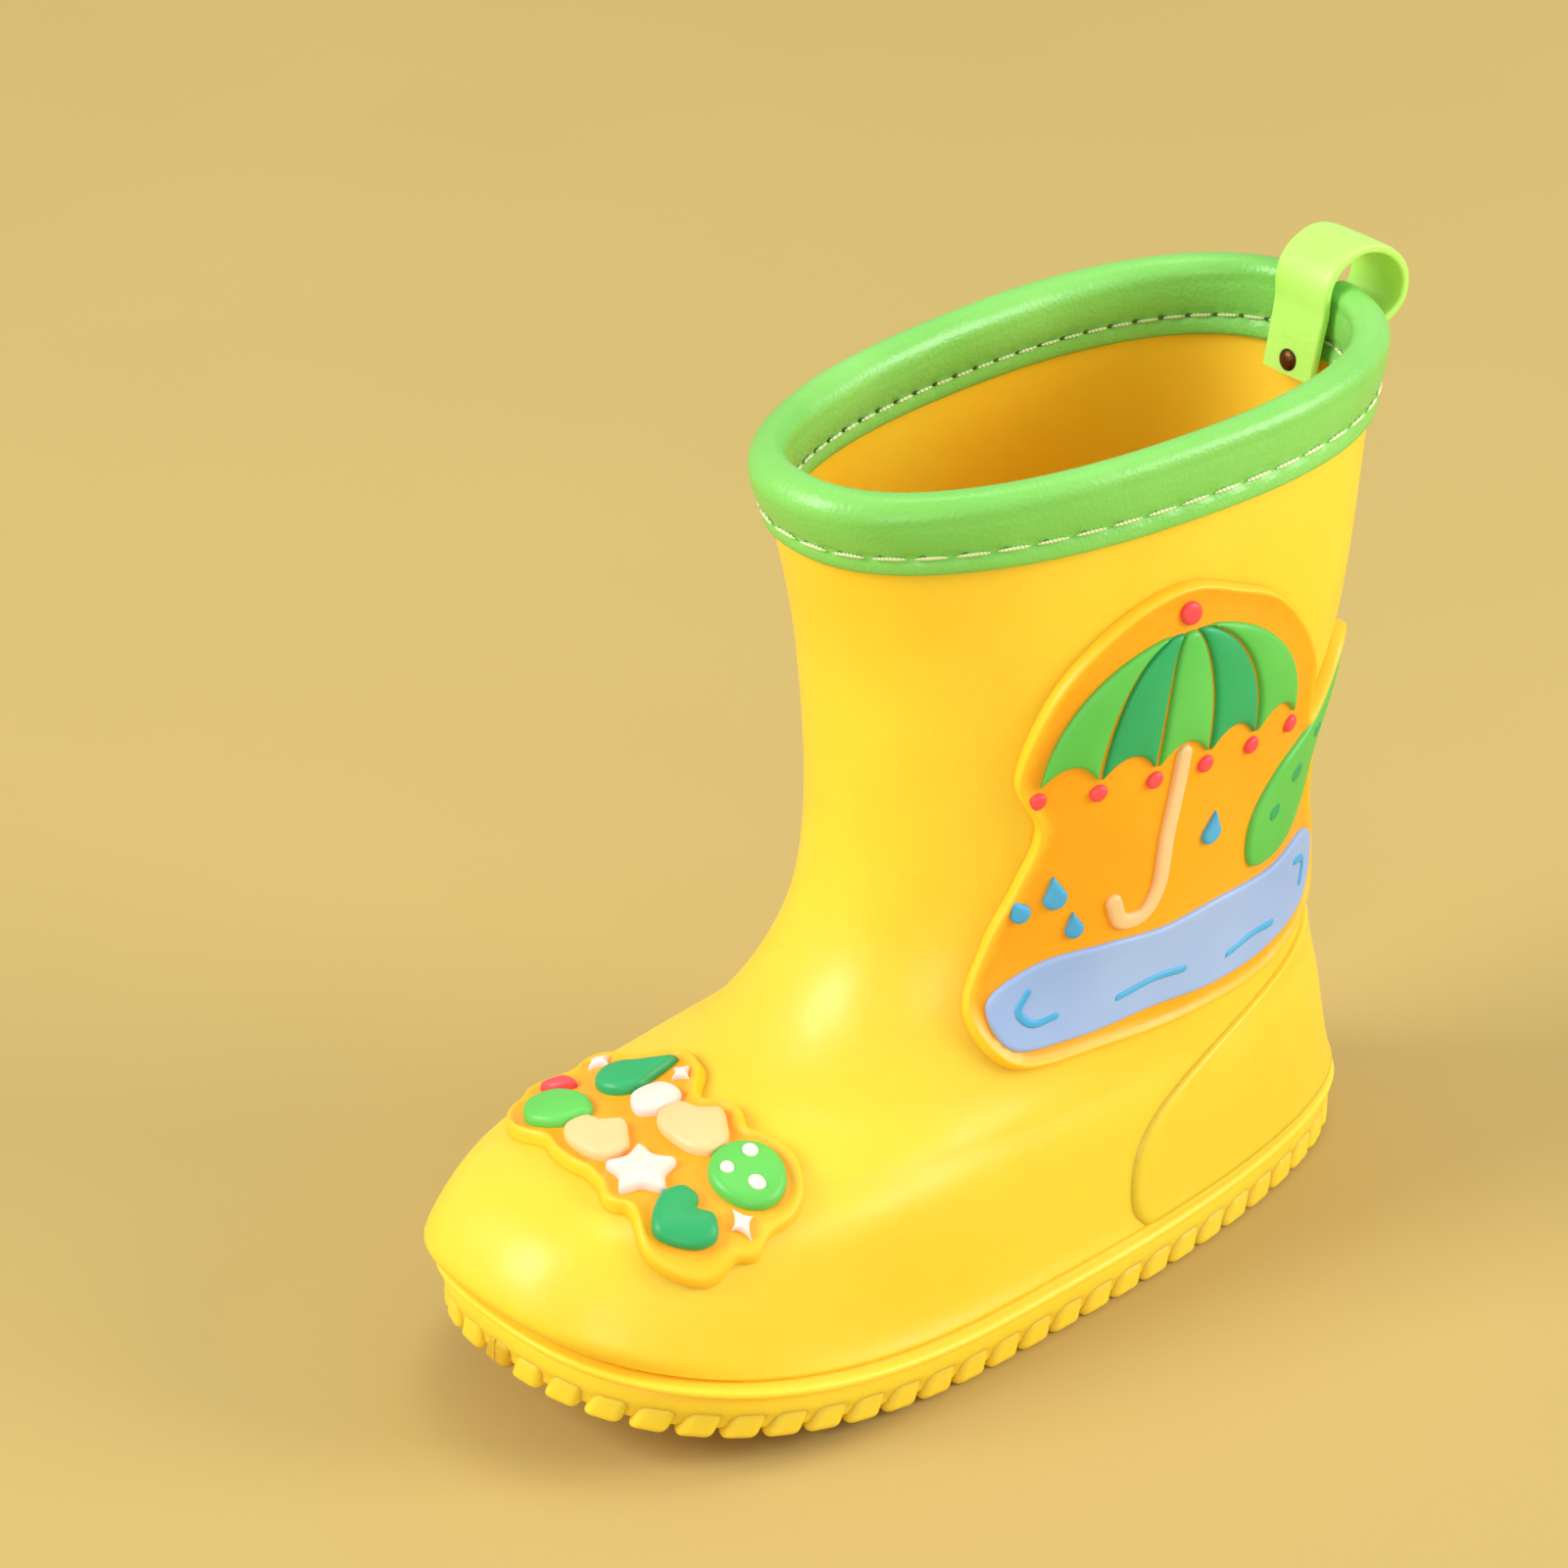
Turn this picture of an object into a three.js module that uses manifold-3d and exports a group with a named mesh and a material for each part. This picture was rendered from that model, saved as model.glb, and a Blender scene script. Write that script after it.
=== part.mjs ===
// A child's rubber rain boot for the left foot: a moulded shell on a lugged outsole, a stitched collar
// binding with a riveted pull loop, two soft rubber badges and a loose insole.
// Frame: +Z up, toe towards -Y, outer (lateral) side towards +X. The origin is on the ground, on the flat
// tread lug under the middle of the foot. All sizes are in millimetres.
import * as THREE from 'three';
import { mergeVertices } from 'three/addons/utils/BufferGeometryUtils.js';
import { TessellateModifier } from 'three/addons/modifiers/TessellateModifier.js';
import Module from 'manifold-3d';

const wasm = await Module();
wasm.setup();

// ---------------------------------------------------------------- driving dimensions
const GAP = 0.3;                 // clearance between touching pieces
const SOLE_THICKNESS = 11;
const TOE_REACH = 87;            // origin to the tip of the outsole
const HEEL_REACH = 88.5;         // origin to the back of the outsole
const SOLE_WIDTH = 74;
const TOE_SPRING = 12;           // rise of the toe tip above the ground plane
const TOE_SPRING_START = 15;     // distance in front of the origin where the rise begins
const RIM_HEIGHT = 149.5;
const RIM_WIDTH = 62.5;
const RIM_FRONT = 25.5;          // origin to the front of the rim
const RIM_BACK = 89.5;           // origin to the back of the rim
const RIM_TILT = THREE.MathUtils.degToRad(2);
const ANKLE_FRONT = 22.5;
const ANKLE_WIDTH = 60;
const WALL = 2.2;
const FLOOR = 2.6;               // shell thickness under the foot

const TREAD_DEPTH = 2.2;
const GROOVE_WIDTH = 3;
const GROOVE_PITCH = 13;
const LUG_PITCH = 9;
const LUG_NOTCH = { width: 2.8, depth: 2.6, height: 4.4, lean: 0.35 };
const SOLE_BEAD = 1.1;           // how far the foxing bead stands out

const TAPE = 1.0;                // binding tape thickness
const BINDING_DROP = 9.8;        // rim edge to the lower edge of the tape
const BINDING_BULB = 3.2;        // radius of the padded roll on the rim
const BINDING_JOIN = 7;          // opening between the tape ends, at the back
const THREAD_RADIUS = 0.35;
const STITCH_MARGIN = 3.4;       // stitch row above the lower edge of the tape

const STRAP_WIDTH = 12.5;
const STRAP_THICKNESS = 1.6;
const STRAP_BOW = 0.9;           // the rim bends away behind the flat inner leg by this much
const STRAP_SWAY_ROOM = 2.2;     // free length left between the fixed legs and the swaying arch
const ARCH_FOOT = 9.6;           // height of the arch's outer end above the end of the strap
const RIVET = { shank: 0.9, head: 2.1, headHeight: 0.9, drop: 9.6, bore: 1.25, seat: 0.7 };

const COUNTER = { thickness: 0.9, rise: 34.5, crop: 0.985, shoulder: 4.5, halfAngle: THREE.MathUtils.degToRad(76) };
const INSOLE = { foam: 3.2, cover: 0.9, play: 0.8 };   // play: how much narrower than the floor
const TAG = { width: 9, height: 8, thickness: 0.5, centre: 13 };

const BADGE_BACK = 0.7;          // badge underside above the shell
const BADGE_PLATE = 1.1;
const SIDE_INLAY = 1.0;
const TOE_INLAY = 1.8;
const SPOT = 0.5;                // small marks poured on top of an inlay
const SIDE_BADGE_HEIGHT = SOLE_THICKNESS + 75;   // height of the side badge's centre
const TOE_BADGE = { x: 3, back: 30 };

// ---------------------------------------------------------------- materials
const COLOURS = {
  yellow: ['#ffd02e', 0.32], soleYellow: ['#ffc81f', 0.38], lime: ['#6cc24f', 0.36],
  strapGreen: ['#93e05a', 0.34], thread: ['#e9ecd0', 0.8], brass: ['#7a5530', 0.4],
  tagWhite: ['#f1ece2', 0.7], foam: ['#e8e3d6', 0.9], lining: ['#f3c64a', 0.85],
  amber: ['#fbb01f', 0.4], green: ['#63c763', 0.42], darkGreen: ['#2fae6b', 0.42],
  peach: ['#f6cd97', 0.45], coral: ['#f7525a', 0.42], white: ['#f2e6da', 0.45],
  puddle: ['#aac4da', 0.42], water: ['#5bb4dc', 0.42],
};
const boot = new THREE.Group();

/** Adds one named mesh with a material of its own. */
function addPiece(name, geometry, colour) {
  const [hex, roughness] = COLOURS[colour];
  const metalness = colour === 'brass' ? 0.8 : 0;
  const mesh = new THREE.Mesh(geometry, new THREE.MeshStandardMaterial({ color: hex, roughness, metalness }));
  mesh.name = name;
  boot.add(mesh);
}

// ---------------------------------------------------------------- the last: one surface for every piece
// Horizontal sections from the sole edge to the rim. Each is a superellipse: front and back reach along Y,
// width, sideways shift, squareness, and flare (how much wider the toe half is than the heel half).
const section = (z, front, back, width, shift, square, flare) => [z, front, back, width, shift, square, flare];
const SECTIONS = [
  section(SOLE_THICKNESS, TOE_REACH, HEEL_REACH, SOLE_WIDTH, 0, 2.6, 0.24),
  section(SOLE_THICKNESS + 6, TOE_REACH + 4.5, HEEL_REACH - 2.5, SOLE_WIDTH - 2.5, 0, 2.6, 0.17),
  section(SOLE_THICKNESS + 22, TOE_REACH - 5, HEEL_REACH - 6, SOLE_WIDTH - 5, 0, 2.5, 0.1),
  section(SOLE_THICKNESS + 29.5, TOE_REACH - 25, HEEL_REACH - 7.5, ANKLE_WIDTH + 4.5, 0, 2.4, 0.08),
  section(SOLE_THICKNESS + 36.5, TOE_REACH - 48.5, HEEL_REACH - 9, ANKLE_WIDTH + 1, 0.3, 2.3, 0.05),
  section(SOLE_THICKNESS + 51, ANKLE_FRONT, HEEL_REACH - 11, ANKLE_WIDTH, 0.3, 2.2, 0.01),
  section(SOLE_THICKNESS + 70, ANKLE_FRONT - 6, HEEL_REACH - 12, ANKLE_WIDTH + 3.5, 0, 2.1, -0.02),
  section(SOLE_THICKNESS + 101, ANKLE_FRONT - 6.5, HEEL_REACH - 6.5, ANKLE_WIDTH + 10, -0.6, 2.25, -0.06),
  section(RIM_HEIGHT, RIM_FRONT, RIM_BACK, RIM_WIDTH, 0, 2.3, -0.09),
];
const RIM = SECTIONS.length - 1;
const TILT_START = SOLE_THICKNESS + 101;
const RIM_CENTRE = (RIM_BACK - RIM_FRONT) / 2;

/** The section at a fractional index, on a Catmull-Rom curve through the listed ones. */
function sectionAt(index) {
  const i = Math.min(Math.max(Math.floor(index), 0), RIM - 1);
  const u = index - i;
  return SECTIONS[i].map((b, k) => {
    const c = SECTIONS[i + 1][k];
    const a = i > 0 ? SECTIONS[i - 1][k] : 2 * b - c;
    const d = i < RIM - 1 ? SECTIONS[i + 2][k] : 2 * c - b;
    return 0.5 * (2 * b + (c - a) * u + (2 * a - 5 * b + 4 * c - d) * u * u + (3 * b - a - 3 * c + d) * u ** 3);
  });
}

/** The toe's rise at a place along the foot, fading with height. */
function springAt(y, z) {
  const run = Math.max(0, (-y - TOE_SPRING_START) / (TOE_REACH - TOE_SPRING_START));
  const fade = THREE.MathUtils.clamp((z - SOLE_THICKNESS) / 40, 0, 1);
  return TOE_SPRING * run * run * (1 - 0.5 * fade);
}

/** A point of the shell's outer surface; angle 0 is the toe and a quarter turn is the outer side. */
function surface(index, angle) {
  const [z, front, back, width, shift, square, flare] = sectionAt(index);
  const c = Math.cos(angle);
  const s = Math.sin(angle);
  const r = (Math.abs(c) ** square + Math.abs(s) ** square) ** (-1 / square);
  const x = r * s * (width / 2) * (1 + flare * r * c) + shift;
  const y = (back - front) / 2 - r * c * (back + front) / 2;
  const tilt = Math.tan(RIM_TILT) * (y - RIM_CENTRE) * THREE.MathUtils.smoothstep(z, TILT_START, RIM_HEIGHT);
  return new THREE.Vector3(x, y, z + springAt(y, z) + tilt);
}

/** The outer surface moved outwards along its own normal. */
function skin(index, angle, offset) {
  const step = 0.004;
  const here = Math.min(Math.max(index, step), RIM - step);
  const up = surface(here + step, angle).sub(surface(here - step, angle));
  const along = surface(here, angle + step).sub(surface(here, angle - step));
  return surface(index, angle).addScaledVector(along.cross(up).normalize(), offset);
}

/** The section index at a height above the ground, found by halving. */
function indexAt(height) {
  let low = 0;
  let high = RIM;
  for (let i = 0; i < 24; i += 1) {
    const mid = (low + high) / 2;
    if (sectionAt(mid)[0] < height) low = mid;
    else high = mid;
  }
  return (low + high) / 2;
}

/** The footprint drawn in or out by a margin, at a height, with the toe's rise. */
function footprint(angle, margin, height) {
  const [, front, back, width, , square, flare] = SECTIONS[0];
  const c = Math.cos(angle);
  const s = Math.sin(angle);
  const r = (Math.abs(c) ** square + Math.abs(s) ** square) ** (-1 / square);
  const y = (back - front) / 2 - r * c * ((back + front) / 2 + margin);
  const x = r * s * (width / 2 + margin) * (1 + flare * r * c);
  return new THREE.Vector3(x, y, height + springAt(y, 0));
}

// ---------------------------------------------------------------- mesh tools
/** Makes a geometry from points and triangles, turned so that its faces point out. */
function solid(points, faces) {
  const geometry = new THREE.BufferGeometry();
  geometry.setAttribute('position', new THREE.Float32BufferAttribute(points.flatMap((p) => [p.x, p.y, p.z]), 3));
  let volume = 0;
  for (const [a, b, c] of faces) volume += points[a].dot(points[b].clone().cross(points[c]));
  geometry.setIndex(faces.flatMap(([a, b, c]) => (volume > 0 ? [a, b, c] : [a, c, b])));
  geometry.computeVertexNormals();
  return geometry;
}

/** Skins a row of closed loops of equal length and caps both ends with the given triangles. */
function loft(loops, capFaces) {
  const n = loops[0].length;
  const caps = capFaces ?? Array.from({ length: n - 2 }, (_, i) => [0, i + 1, i + 2]);
  const faces = [];
  for (let row = 0; row < loops.length - 1; row += 1) {
    for (let i = 0; i < n; i += 1) {
      const a = row * n + i;
      const b = row * n + (i + 1) % n;
      faces.push([a, b, b + n], [a, b + n, a + n]);
    }
  }
  const last = (loops.length - 1) * n;
  for (const [a, b, c] of caps) faces.push([a, c, b], [last + a, last + b, last + c]);
  return solid(loops.flat(), faces);
}

/** Caps a loop that starts at the toe with strips from side to side, so that the cap follows the toe's rise. */
function ladderCap(n) {
  const faces = [[0, 1, n - 1]];
  for (let i = 1; i < n / 2 - 1; i += 1) faces.push([i, i + 1, n - i - 1], [i, n - i - 1, n - i]);
  return [...faces, [n / 2 - 1, n / 2, n / 2 + 1]];
}

/** A thin plate over a grid of places: place(u, v, offset) with u and v from 0 to 1. */
function plate(place, columns, rows, inner, outer) {
  const points = [];
  for (const offset of [inner, outer]) {
    for (let j = 0; j <= rows; j += 1) {
      for (let i = 0; i <= columns; i += 1) points.push(place(i / columns, j / rows, offset));
    }
  }
  const n = (columns + 1) * (rows + 1);
  const at = (i, j) => j * (columns + 1) + i;
  const faces = [];
  const quad = (a, b, c, d) => faces.push([a, b, c], [a, c, d]);
  for (let j = 0; j < rows; j += 1) {
    for (let i = 0; i < columns; i += 1) {
      quad(at(i, j), at(i, j + 1), at(i + 1, j + 1), at(i + 1, j));
      quad(n + at(i, j), n + at(i + 1, j), n + at(i + 1, j + 1), n + at(i, j + 1));
    }
  }
  const rim = [];
  for (let i = 0; i < columns; i += 1) rim.push(at(i, 0));
  for (let j = 0; j < rows; j += 1) rim.push(at(columns, j));
  for (let i = columns; i > 0; i -= 1) rim.push(at(i, rows));
  for (let j = rows; j > 0; j -= 1) rim.push(at(0, j));
  rim.forEach((a, k) => {
    const b = rim[(k + 1) % rim.length];
    quad(a, b, b + n, a + n);
  });
  return solid(points, faces);
}

/** Hands a closed geometry to the solid library. */
function toManifold(geometry) {
  const bare = geometry.clone();
  for (const name of ['normal', 'uv']) bare.deleteAttribute(name);
  const merged = mergeVertices(bare, 1e-4);
  return new wasm.Manifold(new wasm.Mesh({
    numProp: 3,
    vertProperties: new Float32Array(merged.attributes.position.array),
    triVerts: new Uint32Array(merged.index.array),
  }));
}

/** Brings a solid back as a geometry. */
function fromManifold(body) {
  const mesh = body.getMesh();
  const geometry = new THREE.BufferGeometry();
  geometry.setAttribute('position', new THREE.BufferAttribute(new Float32Array(mesh.vertProperties), 3));
  geometry.setIndex(new THREE.BufferAttribute(new Uint32Array(mesh.triVerts), 1));
  geometry.computeVertexNormals();
  return geometry;
}

const turns = (count, from = 0, to = 2 * Math.PI, closed = true) =>
  Array.from({ length: closed ? count : count + 1 }, (_, i) => from + (to - from) * i / count);
const AROUND = turns(42);
const atRivet = () => RIM_HEIGHT - RIVET.drop;
const backPoint = (height, offset) => skin(indexAt(height), Math.PI, offset);

/** A bar along Y that bores the rivet's holes. */
function rivetBore(radius) {
  const centre = backPoint(atRivet(), -WALL / 2);
  const bar = new THREE.CylinderGeometry(radius, radius, 30, 16).translate(centre.x, centre.y, centre.z);
  return toManifold(bar);
}

// ---------------------------------------------------------------- shell and outsole
function upperShell() {
  const bottom = SOLE_THICKNESS + GAP;
  const floor = bottom + FLOOR;
  const first = indexAt(bottom);
  const outer = [first, 0.3, 0.6, 0.8, 1, 1.25, 1.5, 2, 2.5, 3, 3.5, 4, 4.5, 5, 5.6, 6.3, 7, 7.5, RIM];
  const inner = outer.slice(3).reverse();
  const loops = [];
  for (const index of outer) loops.push(AROUND.map((a) => skin(index, a, 0)));
  for (const index of inner) loops.push(AROUND.map((a) => skin(index, a, -WALL)));
  loops.push(AROUND.map((a) => footprint(a, -2 * WALL, floor)));
  return fromManifold(toManifold(loft(loops, ladderCap(AROUND.length))).subtract(rivetBore(RIVET.bore)));
}

/** One box-shaped cutter placed on the sole edge, leaning forward like the moulded notch. */
function lugNotch(angle) {
  const { width, depth, height, lean } = LUG_NOTCH;
  const edge = footprint(angle, 0, 0);
  const ahead = footprint(angle + 0.01, 0, 0).sub(edge);
  const box = new THREE.BoxGeometry(width, depth * 2 + 3, height);
  box.rotateY(-lean);
  box.rotateZ(Math.atan2(ahead.y, ahead.x));
  return toManifold(box.translate(edge.x, edge.y, edge.z + height / 2 - 1.2));
}

function outsole() {
  const profile = [[-4, 0], [-2.4, 0.9], [-1, 4], [-0.4, 7.4], [SOLE_BEAD, 8.2], [SOLE_BEAD + 0.4, 9.3],
    [SOLE_BEAD, 10.3], [-0.6, SOLE_THICKNESS]];
  const loops = profile.map(([margin, height]) => AROUND.map((a) => footprint(a, margin, height)));
  let body = toManifold(loft(loops, ladderCap(AROUND.length)));
  const perimeter = AROUND.reduce((sum, a, i) =>
    sum + footprint(a, 0, 0).distanceTo(footprint(AROUND[(i + 1) % AROUND.length], 0, 0)), 0);
  const fine = turns(720).map((a) => footprint(a, 0, 0));
  let run = 0;
  for (let i = 0, next = LUG_PITCH / 2; i < fine.length && next < perimeter - LUG_PITCH / 2; i += 1) {
    run += fine[i].distanceTo(fine[(i + 1) % fine.length]);
    if (run < next) continue;
    body = body.subtract(lugNotch((i + 0.5) / fine.length * 2 * Math.PI));
    next += LUG_PITCH;
  }
  const first = -Math.floor((TOE_REACH - 12) / GROOVE_PITCH) + 0.5;
  for (let k = first; k * GROOVE_PITCH < HEEL_REACH - 10; k += 1) {
    const y = k * GROOVE_PITCH;
    const cutter = new THREE.BoxGeometry(SOLE_WIDTH * 1.5, GROOVE_WIDTH, TREAD_DEPTH * 2);
    body = body.subtract(toManifold(cutter.translate(0, y, springAt(y, 0))));
  }
  return fromManifold(body);
}

function heelCounter() {
  const low = SOLE_THICKNESS + 2;
  const place = (u, v, offset) => {
    const share = COUNTER.crop * (1 - (1 - v) ** 1.8);
    const half = COUNTER.halfAngle * Math.sqrt(1 - share ** COUNTER.shoulder);
    return skin(indexAt(low + share * COUNTER.rise), Math.PI + (2 * u - 1) * half, offset);
  };
  return plate(place, 20, 11, GAP + 0.2, GAP + 0.2 + COUNTER.thickness);
}

// ---------------------------------------------------------------- collar
/** A place beside the rim: offset outwards from the shell, and height above (or below) the rim edge. */
function besideRim(angle, offset, height) {
  if (height > 0) return skin(RIM, angle, offset).add(new THREE.Vector3(0, 0, height));
  return skin(indexAt(RIM_HEIGHT + height), angle, offset);
}
const TAPE_OUT = GAP + TAPE;                 // outer face of the tape, from the shell's outer face
const TAPE_IN = -WALL - GAP - TAPE;          // inner face of the tape, inside the boot
const rimLength = AROUND.reduce((sum, a, i) =>
  sum + skin(RIM, a, 0).distanceTo(skin(RIM, AROUND[(i + 1) % AROUND.length], 0)), 0);
const joinAngle = BINDING_JOIN / 2 / (RIM_WIDTH / 2);
const COLLAR = turns(60, Math.PI + joinAngle, 3 * Math.PI - joinAngle, false);

function collarBinding() {
  const middle = -WALL / 2;
  const outline = [[TAPE_IN, -BINDING_DROP], [TAPE_IN, -BINDING_DROP / 2], [middle - BINDING_BULB, -2.2]];
  for (const a of turns(6, Math.PI, 0, false)) {
    outline.push([middle + BINDING_BULB * Math.cos(a), 0.4 + BINDING_BULB * Math.sin(a)]);
  }
  outline.push([middle + BINDING_BULB, -2.2], [TAPE_OUT, -BINDING_DROP / 2], [TAPE_OUT, -BINDING_DROP]);
  outline.push([GAP, -BINDING_DROP], [GAP, -BINDING_DROP / 2], [GAP, GAP]);
  outline.push([-WALL - GAP, GAP], [-WALL - GAP, -BINDING_DROP / 2], [-WALL - GAP, -BINDING_DROP]);
  const flat = outline.map(([d, h]) => new THREE.Vector2(d, h));
  const clockwise = THREE.ShapeUtils.isClockWise(flat);
  const caps = THREE.ShapeUtils.triangulateShape(flat, []).map(([a, b, c]) => (clockwise ? [a, c, b] : [a, b, c]));
  return loft(COLLAR.map((a) => outline.map(([d, h]) => besideRim(a, d, h))), caps);
}

function seamThread(offset) {
  const sides = turns(5);
  const height = -BINDING_DROP + STITCH_MARGIN;
  return loft(COLLAR.slice(1, -1).map((a) => sides.map((turn) =>
    besideRim(a, offset + THREAD_RADIUS * Math.cos(turn), height + THREAD_RADIUS * Math.sin(turn)))));
}

// ---------------------------------------------------------------- pull loop
const LEG_OUT = -WALL / 2 + BINDING_BULB + GAP + STRAP_THICKNESS / 2;
const LEG_IN = -WALL / 2 - BINDING_BULB - GAP - STRAP_BOW - STRAP_THICKNESS / 2;
const legIn = (drop) => backPoint(RIM_HEIGHT - drop, LEG_IN);
const legOut = (drop) => backPoint(RIM_HEIGHT - drop, LEG_OUT);
const strapFoot = RIVET.drop + 3.2;

/** A flat strap along points of the YZ plane: pieces of one smooth line, between two shares of it. */
function strap(line, from, to, steps) {
  const loops = [];
  for (let i = 0; i <= steps; i += 1) {
    const u = from + (to - from) * i / steps;
    const p = line.getPointAt(u);
    const t = line.getTangentAt(u);
    const side = new THREE.Vector3(0, -t.z, t.y).multiplyScalar(STRAP_THICKNESS / 2);
    const half = new THREE.Vector3(STRAP_WIDTH / 2, 0, 0);
    loops.push([p.clone().add(side).add(half), p.clone().add(side).sub(half),
      p.clone().sub(side).sub(half), p.clone().sub(side).add(half)]);
  }
  return loft(loops);
}

function pullLoopLine() {
  const rimTop = besideRim(Math.PI, LEG_IN, BINDING_BULB);
  const above = (y, z) => rimTop.clone().add(new THREE.Vector3(0, y, z));
  return new THREE.CatmullRomCurve3([
    legIn(strapFoot), legIn(strapFoot / 2), legIn(2), rimTop,
    above(2.2, 3.1), above(7.4, 5), above(13.2, 3.2), above(17, -1.4), above(16.6, -6.4),
    above(12.6, -9.4), legOut(strapFoot - 7), legOut(strapFoot),
  ], false, 'centripetal');
}

function addPullLoop() {
  const line = pullLoopLine();
  const shares = turns(200, 0, 1, false);
  const archStart = besideRim(Math.PI, LEG_IN, BINDING_BULB).z + 1;
  const archEnd = legOut(strapFoot).z + ARCH_FOOT;
  const up = shares.find((u) => line.getPointAt(u).z > archStart);
  const down = shares.findLast((u) => line.getPointAt(u).z > archEnd);
  const room = STRAP_SWAY_ROOM / 2 / line.getLength();
  const bore = rivetBore(RIVET.bore);
  const leg = (from, to, steps) => fromManifold(toManifold(strap(line, from, to, steps)).subtract(bore));
  addPiece('pull_loop_inner_leg', leg(0, up - room, 8), 'strapGreen');
  addPiece('pull_loop_arch', strap(line, up + room, down - room, 18), 'strapGreen');
  addPiece('pull_loop_outer_leg', leg(down + room, 1, 6), 'strapGreen');
}

function addRivet() {
  const inside = legIn(RIVET.drop).y - STRAP_THICKNESS / 2 - GAP - RIVET.seat;
  const outside = legOut(RIVET.drop).y + STRAP_THICKNESS / 2 + GAP + RIVET.seat;
  const centre = backPoint(atRivet(), -WALL / 2);
  const { shank, head, headHeight } = RIVET;
  const turn = (profile) => new THREE.LatheGeometry(profile.map(([r, y]) => new THREE.Vector2(r, y)), 16)
    .translate(0, 0, centre.z);
  const tail = outside + 2.2;
  addPiece('loop_rivet', turn([[0, inside - headHeight], [head * 0.7, inside - headHeight * 0.8], [head, inside],
    [shank, inside], [shank, tail], [0, tail]]), 'brass');
  addPiece('loop_rivet_washer', turn([[shank + GAP, outside], [head, outside], [head, outside + 0.7],
    [shank + GAP, outside + 1], [shank + GAP, outside]]), 'brass');
}

// ---------------------------------------------------------------- inside
function insoleLayer(from, thickness) {
  const edge = 2 * WALL + INSOLE.play;
  const loops = [from, from + thickness].map((height) => AROUND.map((a) => footprint(a, -edge, height)));
  return loft(loops, ladderCap(AROUND.length));
}

function sizeTag() {
  const top = RIM_HEIGHT - BINDING_DROP + 2;
  const place = (u, v, offset) => {
    const index = indexAt(top - TAG.height * v);
    const angle = Math.PI - (TAG.centre + (u - 0.5) * TAG.width) / (RIM_WIDTH / 2);
    return skin(index, angle, offset);
  };
  const face = -WALL - 2 * GAP - TAPE;
  return plate(place, 4, 3, face - TAG.thickness, face);
}

// ---------------------------------------------------------------- badges
/** The shell's side, by distance along the wall from its outermost line and height from the badge centre. */
function onSide(u, v, offset) {
  const index = indexAt(SIDE_BADGE_HEIGHT + v);
  const steps = 24;
  let angle = Math.PI / 2;
  let rest = Math.abs(u);
  const turn = Math.sign(u) * Math.PI / 2 / steps;
  while (rest > 0) {
    const length = surface(index, angle).distanceTo(surface(index, angle + turn));
    angle += turn * Math.min(1, rest / length);
    rest -= length;
  }
  return skin(index, angle, offset);
}

/** The vamp over a place in plan, measured from the toe badge's centre. */
function onToe(u, v, offset) {
  const x = TOE_BADGE.x + u;
  const y = -(TOE_REACH - TOE_BADGE.back) + v;
  const local = (index) => {
    const [, front, back, width, shift, square, flare] = sectionAt(index);
    const along = ((back - front) / 2 - y) / ((back + front) / 2);
    const across = (x - shift) / (width / 2) / (1 + flare * along);
    return { across, along, size: Math.abs(across) ** square + Math.abs(along) ** square };
  };
  let low = 1;
  let high = 5;
  for (let i = 0; i < 24; i += 1) {
    const mid = (low + high) / 2;
    if (local(mid).size < 1) low = mid;
    else high = mid;
  }
  const { across, along } = local(low);
  return skin(low, Math.atan2(across, along), offset);
}

const INLAY_EDGE = 7;            // longest triangle edge on a bent inlay
const PLATE_EDGE = 8;            // and on a badge's base plate
/** Bends a flat outline onto the shell as a plate between two offsets. */
function inlay(shape, place, from, thickness, curveSegments = 5, edge = INLAY_EDGE) {
  const flat = new THREE.ExtrudeGeometry(shape, { depth: 1, bevelEnabled: false, curveSegments });
  for (const name of ['normal', 'uv']) flat.deleteAttribute(name);
  const fine = mergeVertices(new TessellateModifier(edge, 60).modify(flat), 1e-4);
  const position = fine.attributes.position;
  const points = [];
  for (let i = 0; i < position.count; i += 1) {
    points.push(place(position.getX(i), position.getY(i), from + position.getZ(i) * thickness));
  }
  const faces = [];
  for (let i = 0; i < fine.index.count; i += 3) faces.push([0, 1, 2].map((k) => fine.index.getX(i + k)));
  return solid(points, faces);
}

const disc = (x, y, r) => new THREE.Shape().absarc(x, y, r, 0, 2 * Math.PI);

/** A closed smooth outline through hand-placed corners. */
function blob(corners, divisions = 3) {
  const line = new THREE.CatmullRomCurve3(corners.map(([x, y]) => new THREE.Vector3(x, y, 0)), true, 'centripetal');
  return new THREE.Shape(line.getPoints(corners.length * divisions).slice(0, -1).map((p) => new THREE.Vector2(p.x, p.y)));
}

/** A rain drop: round below, pointed above, turned by an angle. */
function drop(x, y, r, lean = 0) {
  const points = turns(10, -0.25 * Math.PI, 1.25 * Math.PI, false)
    .map((a) => new THREE.Vector2(r * Math.cos(-a), r * Math.sin(-a)));
  points.push(new THREE.Vector2(0, 2.3 * r));
  const centre = new THREE.Vector2();
  return new THREE.Shape(points.map((p) => p.rotateAround(centre, lean).add(new THREE.Vector2(x, y))));
}

/** A star with four hollow sides. */
function sparkle(x, y, r) {
  return new THREE.Shape(turns(8).map((a, i) =>
    new THREE.Vector2(x + Math.cos(a) * (i % 2 ? r * 0.42 : r), y + Math.sin(a) * (i % 2 ? r * 0.42 : r))));
}

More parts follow.
